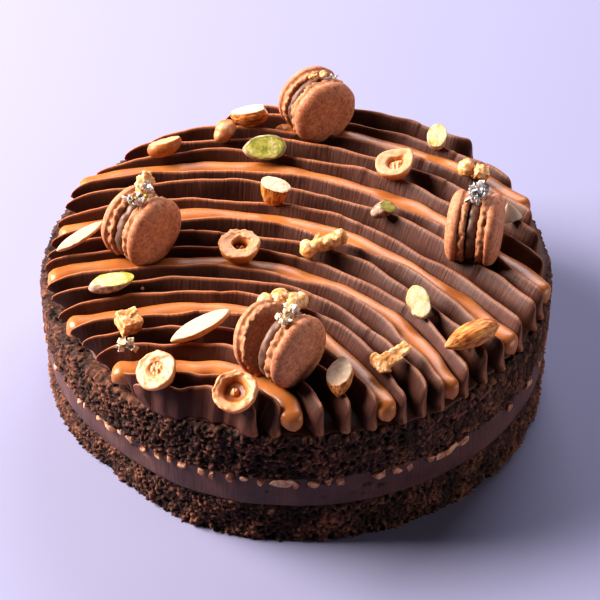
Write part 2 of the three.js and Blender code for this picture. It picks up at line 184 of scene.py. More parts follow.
def wire(node, inputs):
    """Sets a node's inputs. Each is a value, or the node or output to link."""
    for key, value in inputs.items():
        if isinstance(value, bpy.types.Node):
            value = value.outputs[0]
        if isinstance(value, bpy.types.NodeSocket):
            node.id_data.links.new(value, node.inputs[key])
        else:
            node.inputs[key].default_value = value


def add(tree, kind, inputs=(), stops=(), **settings):
    """Adds a node with its settings and inputs, and with stops if it is a colour ramp."""
    made = tree.nodes.new("ShaderNode" + kind)
    for key, value in settings.items():
        setattr(made, key, value)
    wire(made, dict(inputs))
    for i, (place, code) in enumerate(stops):
        stop = made.color_ramp.elements[i] if i < 2 else made.color_ramp.elements.new(place)
        stop.position = place
        stop.color = colour(code)
    return made


def finish(name):
    """A new material, its node tree, its shader, and the piece's own coordinates."""
    material = bpy.data.materials.new(name)
    material.use_nodes = True
    tree = material.node_tree
    return material, tree, tree.nodes["Principled BSDF"], add(tree, "TexCoord").outputs["Object"]


def glow(shader, weight, reach, depth):
    """Lets light in to a depth in millimetres, times the reach of red, green and blue."""
    inputs = {"Subsurface Weight": weight, "Subsurface Radius": reach}
    wire(shader, inputs | {"Subsurface Scale": depth * MM})


def per(size):
    """The scale of a pattern whose features are that many millimetres apart."""
    return 1 / (size * MM)


# Baked cocoa crumb: no gloss. Its colour follows its relief: painted shade makes it nearly black
# in its pits, and a painted highlight makes a proud torn tip red-brown.
cocoa_crumb, tree, shader, place = finish("baked cocoa sponge crumb")
relief = add(tree, "Attribute", attribute_name="relief").outputs["Fac"]
fleck = add(tree, "TexNoise", {"Vector": place, "Scale": per(1.3), "Detail": 5, "Roughness": 0.75})
height = add(tree, "Math", {0: fleck, 1: 0.6}, operation="MULTIPLY")
height = add(tree, "Math", {0: height, 1: relief}, operation="ADD")
tone = add(
    tree, "ValToRGB", {"Fac": height},
    stops=[(0.3, "#0c0605"), (0.55, "#241512"), (0.8, "#4a2d25"), (1.0, "#85543f")],
)
grain = add(tree, "TexNoise", {"Vector": place, "Scale": per(0.8), "Detail": 4, "Roughness": 0.7})
bump = add(tree, "Bump", {"Strength": 0.9, "Distance": 0.6 * MM, "Height": grain})
wire(shader, {"Base Color": tone, "Roughness": 0.82, "Specular IOR Level": 0.35, "Normal": bump})


def turned(profile, columns, lean=0.0, outline=0.0):
    """Rings from [radius, height] rows turned about the upright axis. The outline is added to
    the radius, and lean is how far the front left falls back."""
    bearing = np.arange(columns) / columns * 2 * np.pi
    radius = profile[:, :1] + outline - lean * slump(bearing)
    height = np.repeat(profile[:, 1:], columns, axis=1)
    return np.stack([radius * np.cos(bearing), radius * np.sin(bearing), height], axis=-1)


def off_axis(rings):
    return np.linalg.norm(rings[..., :2], axis=-1)


def widen(rings, push):
    """Moves points that many millimetres out from the upright axis."""
    rings[..., :2] *= (1 + push / np.maximum(off_axis(rings), 1e-6))[..., None]


CRUMB_COLUMNS = 1200  # points round the side, about half a millimetre apart
CRUMB_STEP = 0.48
RIM_STEP = 0.7


def crumb(rings, foot):
    """How far torn crumb stands out at each point, in millimetres."""
    bent = rings * [1, 1, 1.25] + 0.8 * noise(rings, 2.7, 8)[..., None]
    lumps = 1.3 * np.abs(noise(bent, 2.2, 1)) + 1.2 * np.abs(noise(bent, 1.2, 2))
    pits = 1.9 * (1 - ramp(nearest(bent, 3.4, 4), 0.08, 0.45))
    torn = noise(rings, 9, 5) + 1.1 * (1 - ramp(rings[..., 2] - foot, 0, 4)) * noise(rings, 2.0, 9)
    return lumps + 0.45 * noise(bent, 1.0, 3) + 0.7 * torn - pits - 0.3


def sponge(name, radius, foot, top, lean, bare_rim):
    """A round of sponge. bare_rim is the width of crumb that shows on top, at its edge."""
    side = np.arange(foot + 0.4, top - 0.2, CRUMB_STEP)
    rim = np.arange(RIM_STEP, bare_rim, RIM_STEP)
    profile = np.vstack([
        [[radius / 2, foot], [radius - 3, foot], [radius - 0.6, foot]],
        np.stack([np.full(len(side), radius), side], axis=1),
        np.stack([radius - rim, np.full(len(rim), top)], axis=1),
        [[radius - bare_rim - 3, top], [radius / 2, top]],
    ])
    rings = turned(profile, CRUMB_COLUMNS, lean)
    push = crumb(rings, foot)
    on_side, on_top = np.zeros((2, len(profile), 1))
    on_side[2 : 3 + len(side)] = 1
    on_top[3 + len(side) : 3 + len(side) + len(rim)] = 1
    flat = off_axis(rings)
    drawn = np.minimum(flat + push * on_side, MOST_RADIUS)
    drawn += 0.6 * noise(rings, 2.3, 6) * on_top
    rings[..., :2] *= (drawn / flat)[..., None]
    rings[..., 2] += 0.6 * noise(rings, 1.9, 7) * on_side
    rings[..., 2] += np.minimum(0.6 * push, 0.5) * on_top
    rings[..., 2] = np.maximum(rings[..., 2], foot)
    # The crumb's relief drives painted shade in its pits and a painted highlight on its proud tips.
    piece(name, rings, cocoa_crumb, "sponge", name, relief=np.clip(0.38 + 0.22 * push, 0, 1))


LOWER_FOOT, LOWER_TOP = levels("lower_sponge")
UPPER_FOOT, UPPER_TOP = levels("upper_sponge")
sponge("lower_sponge", CAKE_RADIUS - 2, LOWER_FOOT, LOWER_TOP + 0.3, 4.3, 2)
sponge("upper_sponge", CAKE_RADIUS - 1.2, UPPER_FOOT - 0.2, UPPER_TOP, 0.5, 8)


# ---- Ganache filling ----
# A thick layer of firm ganache between the sponges. It was scraped flush with a palette
# knife, which left fine upright drag marks, small pits and a few torn slits.

FILLING_FOOT, FILLING_TOP = levels("ganache_filling")
FILLING_LEAN = 2.2
FILLING_COLUMNS = 800
# bearing in degrees, height, length and tilt of each torn slit
SLITS = [(-127, 26.5, 7, -14), (-83.5, 30.4, 4, 0), (-75, 26.5, 4.5, 6), (-72, 24.5, 4, 4)]

scraped_ganache, tree, shader, place = finish("scraped dark ganache")
upright = add(tree, "Mapping", {"Vector": place, "Scale": (1, 1, 0.06)}).outputs[0]
drag = add(tree, "TexNoise", {"Vector": upright, "Scale": per(0.8), "Detail": 4, "Roughness": 0.65})
cloud = add(tree, "TexNoise", {"Vector": place, "Scale": per(14), "Detail": 2})
mixed = add(tree, "Mix", {0: 0.35, 2: cloud, 3: drag}, data_type="FLOAT")
tone = add(
    tree, "ValToRGB", {"Fac": mixed},
    stops=[(0.3, "#43292a"), (0.5, "#573834"), (0.72, "#704a42")],
)
bump = add(tree, "Bump", {"Strength": 0.9, "Distance": 0.35 * MM, "Height": drag})
wire(shader, {"Base Color": tone, "Roughness": 0.55, "Specular IOR Level": 0.36, "Normal": bump})

radius = CAKE_RADIUS - 1.5
side = np.arange(FILLING_FOOT, FILLING_TOP + 0.1, 0.6)
bulge = 0.35 * np.sin(np.pi * (side - side[0]) / (side[-1] - side[0]))
profile = np.vstack([
    [[radius / 2, FILLING_FOOT - 0.2], [radius - 2, FILLING_FOOT - 0.2]],
    np.stack([radius + bulge, side], axis=1),
    [[radius - 2, FILLING_TOP], [radius / 2, FILLING_TOP]],
])
rings = turned(profile, FILLING_COLUMNS, FILLING_LEAN)
push = 0.4 * noise(rings, 17, 11) + 0.06 * noise(rings * [1, 1, 0.12], 2.3, 12)
push += 0.05 * noise(rings * [1, 1, 0.06], 0.9, 13)
push -= 0.9 * (1 - ramp(nearest(rings * [1, 1, 1.8], 7, 14), 0.04, 0.11))
bearing = np.arctan2(rings[..., 1], rings[..., 0])
for slit_bearing, slit_height, length, tilt in SLITS:
    around = (bearing - np.radians(slit_bearing)) * radius
    up = rings[..., 2] - slit_height - around * np.tan(np.radians(tilt))
    push -= 1.6 * np.exp(-((around / (length / 2)) ** 4) - (up / 0.7) ** 2)
push[:2] = push[-2:] = 0
widen(rings, push)
piece("ganache_filling", rings, scraped_ganache, "ganache_filling", "ganache_filling")


# ---- Chopped nuts in the seam ----
# Coarsely chopped roasted almond and hazelnut, strewn on the filling before the upper
# sponge went on. Broken faces are cream, and bits of skin are orange-brown.

SEAM_NUTS = [
    # bearing in degrees, length round the side, offset in height
    (-151, 3.5, 0.3), (-147, 3, -1), (-144, 3.5, 0.2), (-139.5, 5, 0), (-135.5, 6.5, -0.6),
    (-132, 3, 1), (-129, 4, 0.4), (-125, 3, -0.8), (-121, 3.5, 0.2), (-118, 2.6, 0.8),
    (-115, 3.5, 0), (-110.5, 4, 0.3), (-108, 2.6, -0.6), (-104, 4, 0.2), (-101, 3, 0.8),
    (-97.5, 3.5, 0), (-93, 8, 0.3), (-90, 2.8, -0.6), (-86, 4.5, 0), (-83, 3, 0.7),
    (-80.5, 3, 0), (-72, 5, 0.2), (-68, 4, 0.4), (-65, 2.4, -0.6), (-60, 3, 0.6),
    (-57, 8, 0), (-54.5, 4, 1.4), (-52, 6.5, 0.8), (-36, 3.5, 0.2), (-28, 3, 0.6),
    (-26, 4, 0), (-20, 3.5, 0.4),
]
BACK_SEAM_NUTS = 30

chopped_nut, tree, shader, place = finish("chopped roasted nut")
patch = add(tree, "TexNoise", {"Vector": place, "Scale": per(3), "Detail": 3})
tone = add(
    tree, "ValToRGB", {"Fac": patch},
    stops=[(0.36, "#7e4426"), (0.46, "#a96f4c"), (0.58, "#c9977a"), (0.75, "#dcb596")],
)
bump = add(tree, "Bump", {"Strength": 0.4, "Distance": 0.3 * MM, "Height": patch})
wire(shader, {"Base Color": tone, "Roughness": 0.5, "Normal": bump})
glow(shader, 0.2, (1.0, 0.5, 0.25), 1.2)


SHARD_CORNERS = 13


def blob(kind, at, half, turn=(0, 0, 0), seed=0):
    """A ball, block or broken shard to be fused, in millimetres and degrees."""
    matrix = Matrix.Translation(at) @ Euler(np.radians(turn)).to_matrix().to_4x4()
    return kind, matrix @ Matrix.Diagonal((*half, 1)), seed


def fused(blobs, voxel, smoothing=2):
    """Points and faces of one closed skin round overlapping blobs."""
    bm = bmesh.new()
    for kind, matrix, seed in blobs:
        if kind == "ball":
            bmesh.ops.create_icosphere(bm, subdivisions=3, radius=1, matrix=matrix)
        elif kind == "block":
            bmesh.ops.create_cube(bm, size=2, matrix=matrix)
        else:
            draws = scatter(np.array([[corner, seed, 7] for corner in range(SHARD_CORNERS)])) - 0.5
            draws /= np.linalg.norm(draws, axis=1)[:, None]
            corners = [bm.verts.new(matrix @ Matrix.Translation(d).translation) for d in draws]
            hull = bmesh.ops.convex_hull(bm, input=corners)
            bmesh.ops.delete(bm, geom=hull["geom_interior"], context="VERTS")
    mesh = bpy.data.meshes.new("blobs")
    bm.to_mesh(mesh)
    bm.free()
    made = bpy.data.objects.new("blobs", mesh)
    bpy.context.scene.collection.objects.link(made)
    remesh = made.modifiers.new("fuse", "REMESH")
    remesh.mode = "VOXEL"
    remesh.voxel_size = voxel
    smooth = made.modifiers.new("smooth", "SMOOTH")
    smooth.iterations = smoothing
    ready = made.evaluated_get(bpy.context.evaluated_depsgraph_get()).to_mesh()
    points, normals = np.zeros((2, len(ready.vertices) * 3))
    ready.vertices.foreach_get("co", points)
    ready.vertices.foreach_get("normal", normals)
    faces = [[tuple(p.vertices) for p in ready.polygons if len(p.vertices) == n] for n in (4, 3)]
    faces = [np.array(f) for f in faces if f]
    bpy.data.objects.remove(made)
    bpy.data.meshes.remove(mesh)
    return points.reshape(-1, 3), normals.reshape(-1, 3), faces


back_draws = scatter(np.stack([np.arange(BACK_SEAM_NUTS)] * 3, axis=1))
for i, (shift, length, lift) in enumerate(back_draws):
    SEAM_NUTS.append((-12 + 216 * (i + shift) / BACK_SEAM_NUTS, 2.6 + 3.4 * length, lift))
shards = []
for i, (degrees, length, lift) in enumerate(SEAM_NUTS):
    bearing = np.radians(degrees)
    reach = CAKE_RADIUS - 1 - FILLING_LEAN * slump(bearing)
    at = (reach * np.cos(bearing), reach * np.sin(bearing), FILLING_TOP - 1.9 + lift)
    half = (2.2, 0.66 * length, 1.5 + 0.14 * length)
    shards.append(blob("shard", at, half, (25 * lift, 0, degrees), seed=i))
points, normals, faces = fused(shards, 0.35, 1)
points += normals * (0.12 * noise(points, 1.2, 21))[:, None]
points[:, :2] *= np.minimum(MOST_RADIUS / off_axis(points), 1)[:, None]
dress(mesh_object("seam_nuts", points, faces, chopped_nut))


# ---- Ganache spread ----
# A thin coat of ganache, spread on the top with a palette knife before the piping. Its
# edge is uneven and lies a little inside the sponge's rim.

SPREAD_TOP = 55.2
SPREAD_INSET = 2.7
BARE_INSET = 4.5  # more at the left, where the crumb of the rim is left bare

# Piped ganache: chocolate and cream, firm at room temperature. It is satin to matt, and light
# gets a millimetre or two into it. Its thin crests carry a painted highlight, a lighter red-brown.
piped_ganache, tree, shader, place = finish("piped dark ganache")
stroke_at = add(tree, "Attribute", attribute_name="stroke").outputs["Vector"]
edge = add(tree, "Attribute", attribute_name="edge").outputs["Fac"]
cloud = add(tree, "TexNoise", {"Vector": place, "Scale": per(9), "Detail": 3})
tone = add(tree, "ValToRGB", {"Fac": cloud}, stops=[(0.3, "#472419"), (0.7, "#5a3124")])
# The edge attribute mixes in a lighter red-brown: a painted highlight on the crests and petal rims.
crest = add(tree, "Mix", {0: edge, 6: tone, 7: colour("#b0704c")}, data_type="RGBA")
# Drag marks cross the stroke about a millimetre apart, and run up and down its flanks.
drag = add(tree, "TexNoise", {"Vector": stroke_at, "Scale": 0.9, "Detail": 3, "Roughness": 0.55})
pits = add(tree, "TexVoronoi", {"Vector": place, "Scale": per(3.2), "Randomness": 1.0})
pits = add(tree, "Math", {0: pits, 1: 9.0}, operation="MULTIPLY", use_clamp=True)
drag_bump = add(tree, "Bump", {"Strength": 0.7, "Distance": 0.5 * MM, "Height": drag})
bump = {"Strength": 0.3, "Distance": 0.12 * MM, "Height": pits, "Normal": drag_bump}
bump = add(tree, "Bump", bump)
wire(shader, {
    "Base Color": crest.outputs[2], "Roughness": 0.55, "Specular IOR Level": 0.38, "Normal": bump,
})
glow(shader, 0.25, (1.0, 0.35, 0.15), 1.6)

SPREAD_COLUMNS = 420
SPREAD_ROWS = [
    # distance from the edge, negative inwards, and height
    (-50, UPPER_TOP), (-0.3, UPPER_TOP), (0, 53.0), (-0.2, 53.4), (-0.8, 53.8), (-2, 54.2),
    (-4, 54.7), (-6.5, 55.0), (-9, SPREAD_TOP), (-13, SPREAD_TOP), (-18, SPREAD_TOP), (-50, SPREAD_TOP),
]
bearing = np.arange(SPREAD_COLUMNS) / SPREAD_COLUMNS * 2 * np.pi
outline = CAKE_RADIUS - SPREAD_INSET + 0.9 * np.sin(5 * bearing + 1) + 0.6 * np.sin(11 * bearing)
outline -= BARE_INSET * ramp(-np.cos(bearing), 0.5, 0.75)
rings = turned(np.array(SPREAD_ROWS), SPREAD_COLUMNS, outline=outline)
ragged = 1.2 * noise(rings[2:3], 6, 31) + 0.9 * noise(rings[2:3], 2.4, 32)
row = np.arange(len(rings))[:, None]
weight = np.clip(1 - row / 7, 0, 1) * (row > 0)
rings[..., :2] *= (1 + weight * ragged / CAKE_RADIUS)[..., None]
rings[2:, :, 2] += 0.3 * noise(rings[2:], 5, 33)
values = {"edge": np.zeros(rings.shape[:2]), "stroke": rings * 0.3}
piece("ganache_spread", rings, piped_ganache, "piped_ganache", "piped_ganache", **values)


# ---- Piped ridges ----
# Ganache piped through a narrow slot in long curved strokes, side by side. Each ridge is a
# blade with a thin crest, a pointed tail at the left and a folded petal at the right.

GUIDES = np.array(
    # the lines that the piping bag followed, back to front, as cubic curves
    [
        [[-30, 84], [22, 102], [58, 70], [72, 63]],
        [[-54, 74], [4, 95], [68, 54], [92, 27]],
        [[-89, 39], [-9, 73], [52, 33], [95, -27]],
        [[-95, 8], [20, 52], [60, -37], [81, -56]],
        [[-97, -18], [0, 9], [38, -34], [57, -81]],
        [[-87, -47], [-15, -26], [8, -39], [33, -93]],
        [[-69, -70], [-49, -72], [-11, -60], [0, -98]],
        [[-59, -79], [-51, -89], [-27, -80], [-15, -97]],
    ],
    float,
)
RIDGES = [
    # guide behind it, share of the way to the next
    (0, 0), (0, 0.7),
    (1, 0.2), (1, 0.46), (1, 0.77),
    (2, 0.19), (2, 0.43), (2, 0.81),
    (3, 0.23), (3, 0.51), (3, 0.81),
    (4, 0.22), (4, 0.48), (4, 0.78),
    (5, 0.18), (5, 0.45), (5, 0.75),
    (6, 0.5), (6, 1),
]
RIDGE_STARTS = {1: 0.12}  # the second ridge starts that share of the way along
RIDGE_FOOT = UPPER_TOP + 0.6
RIDGE_CREST = 64.5
RIDGE_HALF_WIDTH = 3.7
LEFT_LEAN = 1.0  # how far the crest stands behind the middle of the foot
RIGHT_LEAN = 2.3
TAIL_HEIGHT = 0.6  # share of the full height at the tail's tip
TAIL_RISE = 14
TAIL_SWELL = 13
TAIL_UNDERCUT = 5  # how far the tail's tip hangs over its foot
TAIL_LIFT = 0.45  # share of the tip's height that its underside is raised
PETAL_HEIGHT = 0.3
PETAL_RISE = 5
PETAL_SWELL = 7
RIDGE_STEPS = 190


def wander(line, along):
    """The hand's wander off the line, to the side."""
    slow = 0.6 * np.sin(2 * np.pi * (along * 3.1 + line * 0.37))
    return slow + 0.3 * np.sin(2 * np.pi * (along * 7.3 + line * 0.61))


def rounded(distance, reach):
    """From 0 at an end to 1 at a distance inside it, as a quarter of an ellipse."""
    share = np.clip(distance / reach, 0, 1)
    return np.sqrt(1 - (1 - share) ** 2)


def lengths_along(line):
    return np.concatenate([[0], np.cumsum(np.linalg.norm(np.diff(line, axis=0), axis=1))])


def stroke(index, share, start, steps):
    """Points along a guide, their directions and shares, and the distance to each end."""
    ahead = GUIDES[min(index + 1, len(GUIDES) - 1)]
    corners = GUIDES[index] + (ahead - GUIDES[index]) * share

    def on_curve(t):
        t = t[:, None]
        a, b, c, d = corners
        return a * (1 - t) ** 3 + 3 * b * t * (1 - t) ** 2 + 3 * c * t**2 * (1 - t) + d * t**3

    even = np.linspace(0, 1, 600)
    lengths = lengths_along(on_curve(even))
    u = np.linspace(0, 1, steps + 1)
    spaced = 0.72 * u + 0.28 * (1 - np.cos(np.pi * u)) / 2  # closer together at both ends
    t = start + (1 - start) * spaced
    at = on_curve(np.interp(t * lengths[-1], lengths, even))
    direction = np.gradient(at, t, axis=0)
    direction /= np.linalg.norm(direction, axis=1)[:, None]
    left = (t - start) * lengths[-1]
    return at, direction, t, left, left[-1] - left


def swept(at, direction, across, height, ahead=0):
    """Rings of points from the distance across and ahead of the stroke, and the height."""
    x = at[:, :1] + direction[:, :1] * ahead - direction[:, 1:] * across
    y = at[:, 1:] + direction[:, 1:] * ahead + direction[:, :1] * across
    reach = np.hypot(x, y)
    kept = np.minimum(reach, MOST_RADIUS) / np.maximum(reach, 1)
    return np.stack([x * kept, y * kept, height], axis=-1)


def ridge_section():
    """[across, up] shares round a ridge: up its back flank, over the crest and down its front."""
    up = np.linspace(0, 1, 14)
    half = 0.13 + 0.87 * (1 - up) ** 0.8
    back = np.stack([half, up], axis=1)
    front = np.stack([-half, up], axis=1)[::-1]
    crest = [[0.12, 0.985], [0.07, 1], [-0.07, 1], [-0.12, 0.985]]
    return np.vstack([back[:-1], crest, front[1:], [[0, 0]]])


def folds(line, left, length, up):
    """Where the stroke was pushed back on itself: soft steps that slant down its flanks."""
    total = np.zeros((len(left), len(up)))
    for number in range(3):
        place, depth, slant = scatter(np.array([[line, number, 5]]))[0]
        past = left[:, None] - length * (0.25 + 0.7 * place) - 5 * (slant - 0.5) * (1 - up)
        step = np.where(past > 0, np.exp(-past / 4), np.exp(-((past / 0.5) ** 2)))
        total += (0.25 + 0.75 * depth) * step
    return total


def ridge(line, index, share, start):
    at, direction, t, left, right = stroke(index, share, start, RIDGE_STEPS)
    side, up = ridge_section().T
    petal = 1 - np.clip(right / PETAL_RISE, 0, 1)
    rise = TAIL_HEIGHT + (1 - TAIL_HEIGHT) * rounded(left, TAIL_RISE)
    rise *= PETAL_HEIGHT + (1 - PETAL_HEIGHT) * (1 - petal**2.6) ** (1 / 2.6)
    height = RIDGE_CREST - RIDGE_FOOT + 0.5 * np.sin(2 * np.pi * (t * 2.3 + line * 0.43))
    pointed = np.clip(left / TAIL_SWELL, 0, 1) ** 0.7
    half = RIDGE_HALF_WIDTH * (0.08 + 0.92 * pointed) * (0.16 + 0.84 * rounded(right, PETAL_SWELL))
    lean = LEFT_LEAN + (RIGHT_LEAN - LEFT_LEAN) * ramp(t, 0.35, 0.75)
    tail_end = np.exp(-left / 3.5)[:, None]
    petal_end = np.exp(-right / 1.6)[:, None]
    ahead = TAIL_UNDERCUT * tail_end * (1 - up) ** 1.2
    ahead = ahead + 1.6 * petal_end * ((1 - up) ** 3 - 0.4 * up)
    across = wander(line, t)[:, None] + side * half[:, None] + (lean * rise)[:, None] * up**1.3
    crest = RIDGE_FOOT + (height * rise)[:, None] * (up + (1 - up) * TAIL_LIFT * tail_end)
    rings = swept(at, direction, across, crest, ahead)
    slow = rings * [1, 1, 0.5]
    soft = up * np.minimum(rise, 1)[:, None]
    step = folds(line, left, left[-1], up) * ramp(right, 2, 9)[:, None] * ramp(left, 6, 20)[:, None]
    across += (0.5 * noise(slow, 16, line) + 0.12 * noise(slow, 6, line + 40)) * soft
    across += 0.6 * step * (side < 0)
    crest += (0.4 * noise(slow, 13, line + 80) + 0.12 * noise(slow, 4, line + 120)) * soft
    crest -= 0.55 * step * up**3
    rings = swept(at, direction, across, crest, ahead)
    # The edge: a painted highlight along the crest, fainter towards the right, and round each petal's
    # rim.
    thin = (1 - 0.55 * ramp(t, 0.4, 0.75))[:, None] * ramp(up, 0.95, 1)
    edge = np.maximum(thin, 0.6 * np.exp(-right / 0.5)[:, None])
    along = np.repeat(left[:, None], len(up), axis=1)
    marks = np.stack([along, np.full_like(along, 37.0 * line), 0.12 * rings[..., 2]], axis=-1)
    name = f"ganache_ridge_{line + 1:02d}"
    values = {"edge": edge, "stroke": marks}
    piece(name, rings, piped_ganache, "piped_ganache", "piped_ganache", **values)


for line, (index, share) in enumerate(RIDGES):
    ridge(line, index, share, RIDGE_STARTS.get(line, 0))


# ---- Caramel stripes ----
# Soft salted caramel, piped into six of the valleys. It is wet and glossy, lets light in,
# and ends in a blunt drop at both ends.

CARAMEL_STARTS = [0.28, 0.01, 0.01, 0.01, 0.01, 0.02]
CARAMEL_HALF_WIDTH = 4.3
CARAMEL_LOW = 55.5
CARAMEL_HIGH = 62.5
CARAMEL_END = 4.5
CARAMEL_STEPS = 150

soft_caramel, tree, shader, place = finish("soft salted caramel")
cloud = add(tree, "TexNoise", {"Vector": place, "Scale": per(12), "Detail": 2})
tone = add(tree, "ValToRGB", {"Fac": cloud}, stops=[(0.3, "#a35f30"), (0.7, "#bb7842")])
bubbles = add(tree, "TexNoise", {"Vector": place, "Scale": per(3), "Detail": 2})
bump = add(tree, "Bump", {"Strength": 0.12, "Distance": 0.4 * MM, "Height": bubbles})
wire(shader, {"Base Color": tone, "Roughness": 0.34, "IOR": 1.46, "Normal": bump})
glow(shader, 0.4, (1.0, 0.45, 0.2), 3)

angle = np.linspace(0, 2 * np.pi, 30, endpoint=False)
rounding = np.sign(np.sin(angle)) * np.abs(np.sin(angle)) ** 0.55  # a flattened round section
for index, start in enumerate(CARAMEL_STARTS, 1):
    at, direction, t, left, right = stroke(index, 0, start, CARAMEL_STEPS)
    end = rounded(left + 0.3, CARAMEL_END) * rounded(right + 0.3, CARAMEL_END)
    end[[0, -1]] *= 0.4
    half = CARAMEL_HALF_WIDTH * end
    rise = (CARAMEL_HIGH - CARAMEL_LOW) * (0.35 + 0.65 * end)
    across = wander(20 + index, t)[:, None] + half[:, None] * np.cos(angle)
    height = CARAMEL_LOW + rise[:, None] * (0.5 + 0.5 * rounding)
    rings = swept(at, direction, across, height)
    across += 0.5 * noise(rings, 9, index) * np.cos(angle)
    height += (0.3 * noise(rings, 13, index + 10) - 0.1) * (np.sin(angle) > 0)
    rings = swept(at, direction, across, height)
    piece(f"caramel_{index}", rings, soft_caramel, "caramel", f"caramel_{index}")


# ---- Macarons ----
# Cocoa macarons standing on their rims. Each has two almond meringue shells with a smooth
# speckled dome and a ruffled foot, and chocolate cream between them.

MACARONS = [
    # name, its middle, bearing of its axis from the front, opening
    ("back", (8.3, 78, 73.8), 30, 0),
    ("left", (-59.4, -2.4, 73.6), 49, 0),
    ("right", (68.5, -3.4, 73.6), 77, 0),
    ("front", (-4.2, -71.5, 73.4), 49, 17),
]
MACARON_RADIUS = 14.5
CREAM_EDGE = [
    # radius and height of the cream's outline, from its lower face to its upper one
    [0.4, -2], [8, -2], [11.6, -2], [12.5, -1.5], [12.9, -0.6], [12.9, 0.6], [12.5, 1.5],
    [11.6, 2], [0.4, 2],
]

# Almond meringue: dry and matt, pink-brown with dark cocoa specks and open pores.
meringue, tree, shader, place = finish("cocoa almond meringue")
foot_share = add(tree, "Attribute", attribute_name="foot").outputs["Fac"]
mottle = add(tree, "TexNoise", {"Vector": place, "Scale": per(1.6), "Detail": 5, "Roughness": 0.65})
tone = add(
    tree, "ValToRGB", {"Fac": mottle},
    stops=[(0.32, "#97593f"), (0.45, "#ba7656"), (0.58, "#c98662"), (0.74, "#d99e79")],
)
specks = add(tree, "TexVoronoi", {"Vector": place, "Scale": per(1.5), "Randomness": 1.0})
specks = add(tree, "Math", {0: specks, 1: 0.2}, operation="LESS_THAN")
specks = add(tree, "Math", {0: specks, 1: 0.6}, operation="MULTIPLY")
speckled = add(tree, "Mix", {0: specks, 6: tone, 7: colour("#6d3b2c")}, data_type="RGBA")
footed = add(tree, "Mix", {0: foot_share, 6: speckled.outputs[2], 7: colour("#b87d5a")}, data_type="RGBA")
grain = add(tree, "TexNoise", {"Vector": place, "Scale": per(0.8), "Detail": 4, "Roughness": 0.7})
bump = add(tree, "Bump", {"Strength": 0.3, "Distance": 0.3 * MM, "Height": grain})
wire(
    shader,
    {"Base Color": footed.outputs[2], "Roughness": 0.68, "Specular IOR Level": 0.4, "Normal": bump},
)

# Chocolate cream: whipped, soft and satin, a little cloudy.
chocolate_cream, tree, shader, place = finish("whipped chocolate cream")
cloud = add(tree, "TexNoise", {"Vector": place, "Scale": per(4), "Detail": 4})
tone = add(tree, "ValToRGB", {"Fac": cloud}, stops=[(0.3, "#5f4033"), (0.7, "#7c5a4a")])
bump = add(tree, "Bump", {"Strength": 0.3, "Distance": 0.4 * MM, "Height": cloud})
wire(shader, {"Base Color": tone, "Roughness": 0.5, "Normal": bump})


def resampled(outline, count):
    """That many points, evenly spaced along an outline."""
    lengths = lengths_along(outline)
    even = np.linspace(0, lengths[-1], count)
    return np.stack([np.interp(even, lengths, values) for values in np.transpose(outline)], axis=1)


def shell(seed):
    """Rings of a macaron shell with its flat face down at 2.2, and how much of it is foot."""
    dome = np.radians(np.linspace(-12, 90, 26))
    crown = np.stack([8.2 + 5.9 * np.cos(dome), 6.4 + 3.9 * np.sin(dome)], axis=1)
    crown = np.vstack([crown, [[5.5, 10.38], [2.5, 10.42], [0.4, 10.4]]])
    base = [[0.4, 2.3], [9, 2.25], [12.6, 2.2], [13.4, 2.5], [13.6, 3.3], [13.5, 4.2], [13.3, 5.0]]
    profile = np.vstack([resampled(base, 26), crown])
    rings = turned(profile, 120)
    radius, height = profile[:, :1], profile[:, 1:]
    foot = ramp(radius, 11.5, 13) * (1 - ramp(height, 4.7, 5.5))
    ruffle = 0.7 * noise(rings * [1, 1, 1.6], 2.6, seed) + 0.4 * noise(rings, 1.1, seed + 5)
    holes = 0.8 * (1 - ramp(nearest(rings * [1, 1, 1.4], 1.8, seed), 0.1, 0.5))
    crack = np.exp(-(((height - 5.2) / 0.35) ** 2)) * (radius > 12)
    smooth = 0.1 * noise(rings, 9, seed + 9)
    rim_wave = 0.3 * noise(rings * [1, 1, 0.2], 6, seed + 11) * ramp(radius, 11, 14)
    push = foot * (ruffle - holes + 0.1) + smooth * (1 - foot) + rim_wave - 0.6 * crack
    widen(rings, push * ramp(off_axis(rings), 2, 9))
    rings[..., 2] += 0.5 * foot * noise(rings, 1.7, seed + 12)
    rings[..., 2] = np.clip(rings[..., 2], 2.0, 10.45)
    widen(rings, np.minimum(MACARON_RADIUS - off_axis(rings), 0))
    return rings, np.repeat(foot, rings.shape[1], axis=1)


for number, (name, at, bearing, opening) in enumerate(MACARONS):
    seed = 10 * number
    turn = (90, 0, bearing)
    tip = np.radians(opening)
    for side in ("near", "far"):
        rings, foot = shell(seed + (side == "far") * 3)
        if side == "far":
            rings = rings * [1, 1, -1]
            cos, sin = np.cos(-tip), np.sin(-tip)
            rings = rings @ np.array([[1, 0, 0], [0, cos, -sin], [0, sin, cos]]).T
            rings = rings - [0, MACARON_RADIUS * (1 - np.cos(tip)), MACARON_RADIUS * np.sin(tip)]
        node = f"macaron_{name}_{side}_shell"
        piece(node, rings, meringue, "macaron_shell", node, at, turn, foot=foot)
    rings = turned(resampled(CREAM_EDGE, 40), 96)
    push = 0.5 * noise(rings * [1, 1, 1.5], 3.5, seed + 6) + 0.2 * noise(rings, 1.4, seed + 7)
    widen(rings, push * ramp(off_axis(rings), 8, 12))
    node = f"macaron_{name}_cream"
    piece(node, rings, chocolate_cream, "macaron_cream", node, at, turn)


# ---- Hazelnut halves ----
# Roasted hazelnuts, skinned and split. The cut face is cream with a golden rim, and shows
# the hollow of the middle, with what is left of the core.

